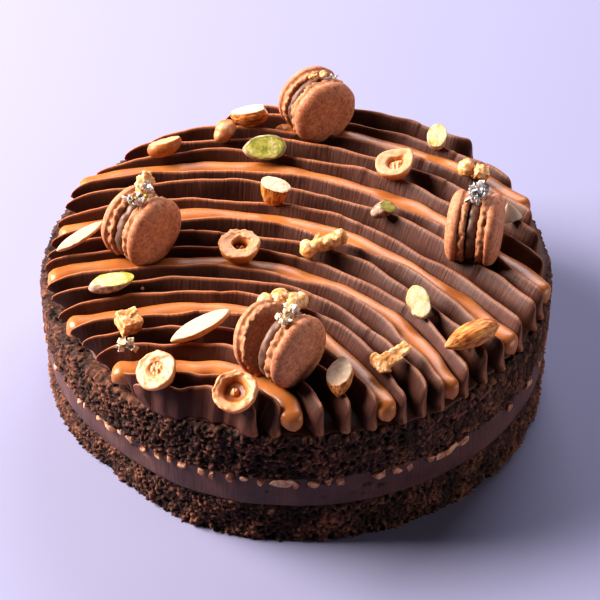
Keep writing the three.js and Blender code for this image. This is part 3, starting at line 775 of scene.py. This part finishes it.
TEARDROP = 1  # the number of the nut with a pointed end
TEARDROP_BEARING = np.radians(40)
HAZELNUTS = [
    # middle of the cut face, turn, diameter; shares of the radius: hollow, depth, core, and
    # the hollow's shift; the rim's roughness; how brown the face, hollow and core are
    ((-21.8, -9.2, 70.6), (5, -1, 0), 16, 0.46, 0.5, 0.26, (0.05, 0.05), 0.8, 0.12, 0.8, 0.7),
    ((38.8, 42.6, 70.8), (8, -6, 0), 16, 0.52, 0.26, 0.34, (0.08, -0.02), 0.2, 0.12, 0.5, 0.1),
    ((-50.6, -80.4, 69.4), (20, -22, 0), 15.5, 0.46, 0.12, 0.36, (0.04, 0.1), 0.4, 0.24, 0.34,
     0.18),
    ((-21.8, -91.2, 69.2), (20, -8, 0), 16.5, 0.7, 0.42, 0.2, (-0.04, 0.1), 0.8, 0.24, 0.55, 0.0),
]

# Roasted hazelnut: a dense oily kernel, satin, cream inside and golden where it browned.
roasted_hazelnut, tree, shader, place = finish("roasted hazelnut")
browned = add(tree, "Attribute", attribute_name="browned").outputs["Fac"]
patch = add(tree, "TexNoise", {"Vector": place, "Scale": per(3.2), "Detail": 5, "Roughness": 0.65})
spread_out = add(tree, "Math", {0: patch, 1: 0.5, 2: -0.25}, operation="MULTIPLY_ADD")
height = add(tree, "Math", {0: browned, 1: spread_out}, operation="ADD")
tone = add(
    tree, "ValToRGB", {"Fac": height},
    stops=[(0.0, "#d2a17c"), (0.3, "#cc8b5b"), (0.55, "#c87632"), (0.8, "#8c4c22"), (1.0, "#452417")],
)
grain = add(tree, "TexNoise", {"Vector": place, "Scale": per(0.9), "Detail": 4})
bump = add(tree, "Bump", {"Strength": 0.35, "Distance": 0.25 * MM, "Height": grain})
wire(shader, {"Base Color": tone, "Roughness": 0.45, "Normal": bump})
glow(shader, 0.25, (1.0, 0.55, 0.3), 1.5)

SKIN_BROWN = 0.62  # of the round back
row = np.arange(84)[:, None]  # rows from the back to the core; the rim is at about the 40th
for number, nut in enumerate(HAZELNUTS):
    at, turn, size, hollow, depth, core, shift, ragged, *browns = nut
    face_brown, hollow_brown, core_brown = browns
    under = np.radians(np.linspace(-88, -6, 26))
    dome = np.stack([np.cos(under), 0.98 * np.sin(under)], axis=1)
    rim = [[0.985, -0.02], [0.95, 0.01], [0.88, 0.02], [(0.9 + hollow) / 2, 0.0]]
    bowl = [[hollow, -0.03], [hollow * 0.84, -depth * 0.4], [hollow * 0.66, -depth * 0.85]]
    middle = [[core * 1.1, -depth], [core * 0.85, -depth * 0.8], [core * 0.4, -depth * 0.62]]
    shares = resampled(np.vstack([dome, rim, bowl, middle, [[0.02, -depth * 0.6]]]), len(row))
    profile = shares * size / 2
    rings = turned(profile, 62)
    face = ramp(profile[:, 1:], -0.9, 0.0)
    flat = off_axis(rings)
    push = 0.3 * noise(rings, 5, 50 + number) + 0.16 * noise(rings, 1.8, 55 + number)
    torn = 0.7 * noise(rings, 2.2, 60 + number) + 0.4 * noise(rings, 1.1, 61 + number)
    push = np.minimum(push + ragged * face * torn, 0.3)
    if number == TEARDROP:
        off = np.arctan2(rings[..., 1], rings[..., 0]) - TEARDROP_BEARING
        push += 2.4 * np.exp(-((off / 0.4) ** 2)) - 0.5
    widen(rings, push * ramp(flat, 0.5, 4))
    torn = 0.3 * noise(rings, 3, 65 + number) + ragged * 0.5 * noise(rings, 1.3, 66 + number)
    rings[..., 2] += torn * face
    on_core = ramp(-flat / (size / 2), -1.1 * core, -0.7 * core) * (row > 44)
    rings[..., 2] += 0.7 * noise(rings * [1.6, 0.8, 0], 1.6, 68 + number) * on_core
    inner = (1 - np.minimum(flat / (size / 2), 1) ** 2) * (row > 40)
    rings[..., :2] += inner[..., None] * np.array(shift) * size / 2
    in_hollow = ramp(-shares[:, 1:], 0.02, 0.8 * depth) * (row > 44)
    brown = face_brown + in_hollow * hollow_brown
    skin = SKIN_BROWN + (brown - SKIN_BROWN) * ramp(row, 38, 44)
    skin = skin + (core_brown - skin) * on_core
    node = f"hazelnut_{number + 1}"
    piece(node, rings, roasted_hazelnut, "hazelnut", node, at, turn, browned=skin)


# ---- Almonds ----
# One whole almond in its skin, broken and halved ones, and blanched pieces. The skin is
# orange-brown and wrinkled lengthwise, and the flesh is white.

almond_skin, tree, shader, place = finish("almond in its skin")
flesh = add(tree, "Attribute", attribute_name="flesh").outputs["Fac"]
lengthwise = add(tree, "Mapping", {"Vector": place, "Scale": (0.16, 1, 1)}).outputs[0]
wrinkle = add(tree, "TexNoise", {"Vector": lengthwise, "Scale": per(1.1), "Detail": 4, "Roughness": 0.6})
tone = add(
    tree, "ValToRGB", {"Fac": wrinkle},
    stops=[(0.38, "#8a4518"), (0.5, "#c8752f"), (0.62, "#e4a660")],
)
cream = add(tree, "TexNoise", {"Vector": place, "Scale": per(3), "Detail": 3})
white = add(tree, "ValToRGB", {"Fac": cream}, stops=[(0.35, "#dab492"), (0.65, "#ead0b6")])
shown = add(tree, "Mix", {0: flesh, 6: tone, 7: white}, data_type="RGBA")
bump = add(tree, "Bump", {"Strength": 0.9, "Distance": 0.5 * MM, "Height": wrinkle})
wire(shader, {"Base Color": shown.outputs[2], "Roughness": 0.5, "Normal": bump})
glow(shader, 0.15, (1.0, 0.6, 0.35), 1.2)


def kernel(length, width, thickness, point, cuts=(), seed=0, rough=0.15, blunt=0.5):
    """Rings of a kernel along X, pointed at its left, and its share of cut flesh. Each cut
    is a plane: its outward direction and its distance from the middle."""
    s = (1 - np.cos(np.linspace(0.04, 0.985, 58) * np.pi)) / 2
    belly = point / (point + blunt)
    swell = (s**point * (1 - s) ** blunt) / (belly**point * (1 - belly) ** blunt) / 2
    angle = np.linspace(0, 2 * np.pi, 48, endpoint=False)
    x = np.repeat(((s - 0.5) * length)[:, None], len(angle), axis=1)
    swell = swell[:, None]
    across, up = swell * width * np.cos(angle), swell * thickness * np.sin(angle)
    rings = np.stack([x, across, up], axis=-1)
    bumps = rough * (noise(rings * [0.25, 1, 1], 1.5, seed) + noise(rings, 4, seed + 1))
    rings[..., 1:] *= (1 + bumps / thickness * 2)[..., None]
    flesh = np.zeros(rings.shape[:2])
    for direction, distance in cuts:
        direction = np.array(direction, float) / np.linalg.norm(direction)
        beyond = rings @ direction - distance + 0.12 * noise(rings, 2, seed + 2)
        rings -= np.maximum(beyond, 0)[..., None] * direction * 0.96
        flesh = np.maximum(flesh, ramp(beyond, -0.1, 0.15))
    return rings, flesh


ALMONDS = [
    # name, kernel's sizes and point, cuts, place, turn, point of its right end
    ("almond_whole", (24.5, 10, 8, 0.8), [((1, 0, 0.1), 11.4)],
     (64.4, -59.8, 68.2), (12, -3, 32), 0.7),
    ("almond_tip", (16, 9.8, 7.5, 0.8), [((0.35, 0.1, 1), 1.1)],
     (15.6, -82.4, 68.4), (-13, -33, 84), 0.8),
    ("almond_half", (22, 12, 8.5, 0.8), [((1, 0, 0), 2.2)],
     (-8.5, 25.2, 70.6), (90, -79, -15), 0.5),
    ("almond_chunk", (16, 10, 10.5, 0.6), [((-0.1, 0, 1), 2.2), ((0.9, 0, 0.5), 6.5)],
     (-19.3, 78, 68.9), (-16, -2, 6), 0.5),
]
for seed, (name, sizes, cuts, at, turn, blunt) in enumerate(ALMONDS, 1):
    rings, flesh = kernel(*sizes, cuts, seed, blunt=blunt)
    piece(name, rings, almond_skin, "almond", name, at, turn, flesh=flesh)

# Blanched almond: skinned in hot water and split. White, fine and waxy, tan at its edge.
blanched_almond, tree, shader, place = finish("blanched almond")
flesh = add(tree, "Attribute", attribute_name="flesh").outputs["Fac"]
cloud = add(tree, "TexNoise", {"Vector": place, "Scale": per(4), "Detail": 3})
tan = add(tree, "ValToRGB", {"Fac": cloud}, stops=[(0.35, "#c8935c"), (0.65, "#d8b388")])
shown = add(tree, "Mix", {0: flesh, 6: tan, 7: colour("#d0bba4")}, data_type="RGBA")
bump = add(tree, "Bump", {"Strength": 0.2, "Distance": 0.3 * MM, "Height": cloud})
wire(shader, {"Base Color": shown.outputs[2], "Roughness": 0.5, "Normal": bump})
glow(shader, 0.3, (1.0, 0.7, 0.5), 1.5)

BLANCHED = [
    # name, kernel's sizes and point, cut, place, turn, seed, right end's point, least flesh
    ("blanched", (26, 7.6, 6.5, 0.7), ((0, 0.1, 1), 1.1), (-35, -55, 68.2), (8, -8, 32), 5, 0.7, 0),
    ("sliver", (23, 5, 4.2, 0.6), ((0, 0, 1), 0.8), (-83, -2.6, 68.6), (10, -8, 40), 6, 0.7, 0),
    ("chip", (14, 8, 3.2, 1.0), ((1, 0, 0.1), 2), (84, 12.4, 67), (80, 76, 0), 8, 0.5, 1),
]
for name, sizes, cut, at, turn, seed, blunt, least in BLANCHED:
    rings, flesh = kernel(*sizes, [cut], seed, rough=0.1, blunt=blunt)
    flesh = np.maximum(flesh, least)
    name = "almond_" + name
    piece(name, rings, blanched_almond, "blanched_almond", name, at, turn, flesh=flesh)


# ---- Peanuts ----
# A roasted peanut half, orange outside with a cream band where it split, and a broken piece.

rings, flesh = kernel(15, 10, 8.5, 0.5, [((0.1, 0, 1), 2.0)], 7, rough=0.1)
skin = 0.68 - 0.6 * flesh
at = (-53.4, 56, 68.8)
turn = (-26, -8, 28)
piece("peanut_half", rings, roasted_hazelnut, "hazelnut", "peanut_half", at, turn, browned=skin)

lumps = [
    blob("ball", (-2, 0, -0.6), (3.3, 3.4, 3.4)),
    blob("ball", (0.4, 0.2, 0.4), (4, 3.8, 4)),
    blob("ball", (2.7, -0.3, 0.6), (2.8, 3, 3)),
]
points, normals, faces = fused(lumps, 0.3)
points += normals * (0.3 * noise(points, 3, 71))[:, None]
browned = np.clip(0.35 + 0.5 * noise(points, 5, 72), 0, 0.7)
made = mesh_object("peanut_piece", points, faces, roasted_hazelnut, browned=browned)
dress(made, "peanut_piece", (-29.3, 67, 68.2), (0, -20, 40))


# ---- Pistachios ----
# Raw pistachio halves, slices and a whole small one. The flesh is green at the edge and
# yellow-green inside, grainy where cut, in a thin pink-grey skin.

PISTACHIOS = [
    # name, kernel's sizes and point, cut, place, turn, green of the flesh
    ("half", (18, 11, 8, 0.6), ((0, -0.2, 1), 1.6), (-12.9, 55.6, 68.2), (24, 0, 10), 0.6),
    ("cut", (11, 8.5, 8.5, 0.45), ((0.1, 0, 1), 1.6), (57.4, 63, 68.4), (0, -35, 78), 0.08),
    ("dark", (11.5, 6.5, 6, 0.5), ((0.7, -0.3, 0.8), 1.6), (34.5, 16.6, 67.2), (0, -14, 22), 0.6),
    ("left", (18, 9, 7, 0.55), ((0.2, 0.1, 1), 1.0), (-69.6, -29.4, 68), (2, -8, 20), 0.22),
    ("slice", (16, 9, 5, 0.55), ((0, 0, 1), 0.8), (45.7, -40.8, 67.6), (6, -12, 98), -0.04),
]

pistachio_kernel, tree, shader, place = finish("raw pistachio kernel")
flesh = add(tree, "Attribute", attribute_name="flesh").outputs["Fac"]
green = add(tree, "Attribute", attribute_name="green").outputs["Fac"]
grainy = add(tree, "TexNoise", {"Vector": place, "Scale": per(1.1), "Detail": 5, "Roughness": 0.75})
shifted = add(tree, "Math", {0: grainy, 1: 1.5, 2: -0.75}, operation="MULTIPLY_ADD")
shifted = add(tree, "Math", {0: green, 1: shifted}, operation="ADD", use_clamp=True)
cut_tone = add(
    tree, "ValToRGB", {"Fac": shifted},
    stops=[(0.0, "#dfcaa4"), (0.3, "#cfbe82"), (0.6, "#b0a63c"), (1.0, "#747a20")],
)
skin_patch = add(tree, "TexNoise", {"Vector": place, "Scale": per(2.6), "Detail": 4})
skin_tone = add(
    tree, "ValToRGB", {"Fac": skin_patch},
    stops=[(0.34, "#7a5a4a"), (0.52, "#bb9580"), (0.72, "#d9b9a6")],
)
shown = add(tree, "Mix", {0: flesh, 6: skin_tone, 7: cut_tone}, data_type="RGBA")
bump = add(tree, "Bump", {"Strength": 0.9, "Distance": 0.4 * MM, "Height": grainy})
wire(shader, {"Base Color": shown.outputs[2], "Roughness": 0.55, "Normal": bump})
glow(shader, 0.2, (0.8, 1.0, 0.3), 1.2)

for seed, (name, sizes, cut, at, turn, middle_green) in enumerate(PISTACHIOS, 11):
    rings, flesh = kernel(*sizes, [cut], seed, rough=0.22)
    away = np.linalg.norm(rings / (np.array(sizes[:3]) / 2), axis=-1)
    greens = middle_green + 0.35 * ramp(away, 0.75, 1.0) + 0.35 * noise(rings, 4, seed)
    name = "pistachio_" + name
    piece(name, rings, pistachio_kernel, "pistachio", name, at, turn, flesh=flesh, green=greens)


# ---- Praline ----
# Nuts cooked in sugar and broken up. Amber sugar lies over pale nut, in lumps that shine
# where the sugar is thick and are grainy where they broke.

praline_sugar, tree, shader, place = finish("nut praline")
patch = add(tree, "TexNoise", {"Vector": place, "Scale": per(3), "Detail": 5, "Roughness": 0.62})
tone = add(
    tree, "ValToRGB", {"Fac": patch},
    stops=[(0.32, "#a5602f"), (0.45, "#dc9a5c"), (0.58, "#eebe88"), (0.72, "#f6debb")],
)
grain = add(tree, "TexNoise", {"Vector": place, "Scale": per(1.0), "Detail": 4, "Roughness": 0.6})
bump = add(tree, "Bump", {"Strength": 0.6, "Distance": 0.35 * MM, "Height": grain})
wire(shader, {
    "Base Color": tone, "Roughness": 0.42, "Coat Weight": 0.2, "Coat Roughness": 0.2, "Normal": bump,
})
glow(shader, 0.25, (1.0, 0.55, 0.2), 1.5)

PRALINE = [
    # name, place, turn, its lumps
    ("praline_twin", (71.2, 41, 67.8), (0, 6, -16), [
        blob("ball", (-3.4, 0.4, 0), (3.5, 4.1, 3.8)),
        blob("block", (3, -0.3, 0), (2.7, 2.5, 2.4), (12, 14, 20)),
        blob("ball", (2.8, -0.3, 0), (3.5, 3.3, 3.1)),
    ]),
    ("praline_log", (10.6, -6.6, 68.2), (0, -6, 14), [
        blob("ball", (-6.6, -0.8, 0), (3.2, 3.9, 3.6)),
        blob("ball", (-1, 0, 0), (5.2, 2.9, 3.1)),
        blob("ball", (3.4, 0.4, 0.2), (3.8, 3.2, 3.4)),
        blob("ball", (7, 1.6, 0.2), (2.8, 3.1, 3.4)),
        blob("ball", (-4.2, -1.8, 1.9), (2.1, 2, 1.8)),
        blob("ball", (-1.4, 1.6, 2), (1.9, 2, 1.8)),
        blob("ball", (1.4, -1.7, 1.8), (2, 1.8, 1.9)),
        blob("ball", (4.8, -1.2, 2.4), (1.9, 1.9, 1.7)),
    ]),
    ("praline_flake", (35.2, -72, 67.2), (18, -12, 26), [
        blob("shard", (-5, -0.2, 0), (3.6, 6.2, 2.5), seed=9),
        blob("block", (-1.4, 0.4, 0), (4.4, 2.7, 1.7), (4, 6, 4)),
        blob("shard", (4, 1.6, 0), (5.4, 3, 1.8), (0, 0, 8), seed=10),
    ]),
    ("praline_cube", (-61.6, -52.8, 68.2), (12, 8, 28), [
        blob("block", (0, 0, 0), (3.9, 3.7, 3.6), (4, -5, 3)),
        blob("shard", (1.2, 0.6, 1.4), (3.6, 3.6, 3.2), seed=12),
    ]),
    ("praline_front", (-5.2, -41.4, 68.4), (0, 0, 4), [
        blob("ball", (-6, -0.4, 0), (3.7, 4.4, 3.7)),
        blob("ball", (-0.6, 0.8, 0.4), (4.3, 4.5, 4)),
        blob("ball", (4.2, -0.6, 0), (3.6, 4.4, 3.8)),
        blob("ball", (7.2, 0.6, -0.2), (2.6, 3.4, 3.2)),
    ]),
    ("praline_left_top", (-57.4, -1.6, 94.6), (0, 10, 50), [
        blob("shard", (-0.4, 0, 0.6), (4.2, 3.7, 4.6), seed=14),
        blob("shard", (0.6, 0.2, -2), (5.2, 4.6, 4.3), seed=15),
    ]),
    ("praline_back_top", (8.6, 77.6, 88.2), (0, 8, 32), [
        blob("shard", (-3.4, -0.6, 0), (1.5, 1.6, 1.4), seed=16),
        blob("shard", (-1, 0.5, 0.2), (1.8, 1.6, 1.6), seed=17),
        blob("shard", (1, -0.5, 0), (1.5, 1.6, 1.4), seed=18),
        blob("shard", (3, 0.2, 0.1), (1.9, 1.7, 1.6), seed=19),
    ]),
]
for number, (name, at, turn, lumps) in enumerate(PRALINE):
    points, normals, faces = fused(lumps, 0.3)
    knobs = 0.32 * noise(points, 2.4, 80 + number) + 0.14 * noise(points, 1.0, 90 + number)
    points += normals * knobs[:, None]
    dress(mesh_object(name, points, faces, praline_sugar), name, at, turn)


# ---- Metal leaf ----
# Edible gold and silver leaf, beaten so thin that it crumples into bright flakes. It lies on
# the macarons and the praline of the left one, and stands in a valley.

# Gold leaf: pale and warm, and hardly metallic: near-white patches strewn at random are a
# painted reflection of the bright room, and the deeper gold ones a painted shade.
gold_leaf, tree, shader, place = finish("edible gold leaf")
patch = add(tree, "TexNoise", {"Vector": place, "Scale": per(2.2), "Detail": 4, "Roughness": 0.7})
tone = add(
    tree, "ValToRGB", {"Fac": patch},
    stops=[(0.35, "#ecc894"), (0.5, "#fae8cc"), (0.65, "#fff9f0")],
)
bump = add(tree, "Bump", {"Strength": 0.8, "Distance": 0.4 * MM, "Height": patch})
wire(shader, {"Base Color": tone, "Metallic": 0.05, "Roughness": 0.35, "Normal": bump})

# Silver leaf: hardly metallic, so its shine is a painted reflection in its white colour, with
# grey patches strewn at random as painted shade.
silver_leaf, tree, shader, place = finish("edible silver leaf")
patch = add(tree, "TexNoise", {"Vector": place, "Scale": per(2.2), "Detail": 4, "Roughness": 0.7})
tone = add(tree, "ValToRGB", {"Fac": patch}, stops=[(0.38, "#aaa6a8"), (0.55, "#f8f4f0")])
bump = add(tree, "Bump", {"Strength": 0.6, "Distance": 0.4 * MM, "Height": patch})
wire(shader, {"Base Color": tone, "Metallic": 0.12, "Roughness": 0.3, "Normal": bump})

HALF_LEAF = 0.09  # thicker than real leaf, so that it shows


def scrap(length, width, curl, seed):
    """Rings of a thin ragged sheet of leaf, curled along its length, with a closed edge."""
    along, over = np.meshgrid(np.linspace(-1, 1, 10), np.linspace(-1, 1, 7))
    torn = noise(np.stack([along * 4, np.sign(over) * 3, along * 0], axis=-1), 1.6, seed)
    edge = 0.75 + 0.35 * torn
    sheet = np.stack([along * length / 2, over * width / 2 * edge, curl * along**2], axis=-1)
    sheet[..., 2] += 0.5 * noise(sheet, 1.5, seed + 1)
    lift = [0, 0, HALF_LEAF]
    return np.concatenate([sheet + lift, (sheet - lift)[:, ::-1]], axis=1)


def flakes(count, half, size, seed):
    """Points and faces of many scraps, strewn in an ellipsoid and turned every way."""
    draws = scatter(np.array([[i, seed, 3] for i in range(4 * count)]))
    all_points, quads, tris, used = [], [], [], 0
    for i in range(count):
        way, turn, shape = draws[4 * i : 4 * i + 3]
        way = (way - 0.5) * 2
        middle = way / max(np.linalg.norm(way), 1) * np.array(half)
        long, wide = size * (0.6 + 0.6 * shape[0]), size * (0.4 + 0.4 * shape[1])
        rings = scrap(long, wide, size * (shape[2] - 0.3), seed + i)
        spun = rings @ np.array(Euler(turn * 2 * np.pi).to_matrix()).T + middle
        points, faces = closed(spun)
        all_points.append(points)
        quads.append(faces[0] + used)
        tris.extend([faces[1] + used, faces[2] + used])
        used += len(points)
    return np.vstack(all_points), [np.vstack(quads), np.vstack(tris)]


LEAF = [
    # name, place, turn, how many flakes, half sizes of their heap, size of one, material, seed
    ("foil_right_top", (68.6, -3.4, 91), (0, 0, 70), 34, (3.6, 3, 3.2), 3.4, silver_leaf, 21),
    ("foil_front_top", (-3.4, -72.6, 88.6), (0, -6, 50), 26, (5.6, 2.4, 0.9), 2.6, gold_leaf, 22),
    ("foil_leaf", (-61.6, -66.3, 67.8), (0, 0, 10), 11, (2.6, 0.8, 2.8), 4.2, gold_leaf, 23),
]
for name, at, turn, count, half, size, leaf, seed in LEAF:
    points, faces = flakes(count, half, size, seed)
    dress(mesh_object(name, points, faces, leaf), name, at, turn)


SMALL_LEAF = [
    # name, place, how many flakes, half sizes of their heap, size of one, material
    ("leaf_on_praline", (-56.6, -5.4, 94.6), 7, (2.2, 0.8, 1.8), 2.8, silver_leaf),
    ("leaf_on_left_macaron", (-60.6, -6, 89.4), 12, (4.2, 2.4, 1.1), 2.4, silver_leaf),
    ("leaf_on_back_macaron", (15.4, 79, 87), 3, (1, 1, 0.8), 3, silver_leaf),
]
for seed, (name, at, count, half, size, leaf) in enumerate(SMALL_LEAF, 60):
    points, faces = flakes(count, half, size, seed)
    dress(mesh_object(name, points, faces, leaf), None, at)


# ---- Crumbs ----
# Crumbs of the nuts, fallen beside them: green ones under the praline on the left macaron,
# and pale ones in the valleys.

CRUMBS = [
    # name, material, its slot, and each crumb's place and size
    ("pistachio_crumbs", pistachio_kernel, "pistachio", [
        (-60.4, -6.4, 89.8, 1.1), (-56.8, -5.6, 90.2, 1.2), (-54.6, -5, 90.2, 1),
        (-62.6, -7.4, 89, 0.9),
    ]),
    ("nut_crumbs", chopped_nut, "almond", [
        (61.8, -59.3, 62.5, 1.3), (-11, 24, 64.6, 0.9), (-9.4, 22.8, 64.4, 0.7),
        (-58, -28, 63.5, 0.9),
    ]),
]
for name, material, slot, places in CRUMBS:
    lumps = []
    for i, (*at, size) in enumerate(places):
        lumps.append(blob("shard", at, (size, size, 0.8 * size), seed=i))
    points, normals, faces = fused(lumps, 0.2, 1)
    shares = np.ones(len(points))
    made = mesh_object(name, points, faces, material, flesh=shares, green=0.7 * shares)
    dress(made)


# ---- Floor, light and camera ----
# A plain pale floor. The light is a wide soft window to the left and a little behind, with
# a pale room round it.

FLOOR_HALF = 3.0
bpy.ops.mesh.primitive_plane_add(size=2 * FLOOR_HALF, location=(0, 0, 0))
floor = bpy.context.active_object
floor.name = "floor"
pale_board, _, shader, _ = finish("pale painted board")
wire(shader, {"Base Color": colour("#8f8dac"), "Roughness": 0.7})
floor.data.materials.append(pale_board)

world = bpy.data.worlds.new("pale room")
bpy.context.scene.world = world
world.use_nodes = True
world.node_tree.nodes["Background"].inputs["Color"].default_value = (1.0, 0.96, 0.95, 1)
world.node_tree.nodes["Background"].inputs["Strength"].default_value = 0.025


LIGHTS = [
    # name, bearing, elevation, size, brightness of a white card facing it, tint
    ("window", 169, 34, (0.7, 0.8), 3.35, (1.0, 0.94, 0.87)),
    ("room_right", -14, 10, (0.7, 0.25), 0.3, (1.0, 0.96, 0.94)),
    ("sky_behind", 72, 40, (0.9, 0.5), 0.7, (0.9, 0.91, 1.0)),
]
LIGHT_DISTANCE = 1.3
LIGHTS_AIM = Vector((0, 0, 0.05))
for name, bearing, elevation, size, brightness, tint in LIGHTS:
    data = bpy.data.lights.new(name, "AREA")
    data.shape = "RECTANGLE"
    data.size, data.size_y = size
    data.energy = brightness * np.pi**2 * LIGHT_DISTANCE**2
    data.color = tint
    light = bpy.data.objects.new(name, data)
    bpy.context.scene.collection.objects.link(light)
    bearing, elevation = np.radians([bearing, elevation])
    away = Vector((np.cos(bearing), np.sin(bearing), np.tan(elevation))).normalized()
    light.location = LIGHTS_AIM + away * LIGHT_DISTANCE
    light.rotation_euler = (-away).to_track_quat("-Z", "Y").to_euler()

camera_data = bpy.data.cameras.new("camera")
camera_data.sensor_width = 36
camera_data.lens = 135.28
camera = bpy.data.objects.new("camera", camera_data)
bpy.context.scene.collection.objects.link(camera)
camera.location = (0, -0.6832, 0.60856)
CAMERA_DOWN = 40.043
CAMERA_YAW = 0.026
CAMERA_ROLL = -0.121
camera.rotation_euler = np.radians([90 - CAMERA_DOWN, CAMERA_ROLL, -CAMERA_YAW])
bpy.context.scene.camera = camera
bpy.context.scene.view_settings.view_transform = "Standard"
bpy.context.scene.view_settings.look = "Medium High Contrast"
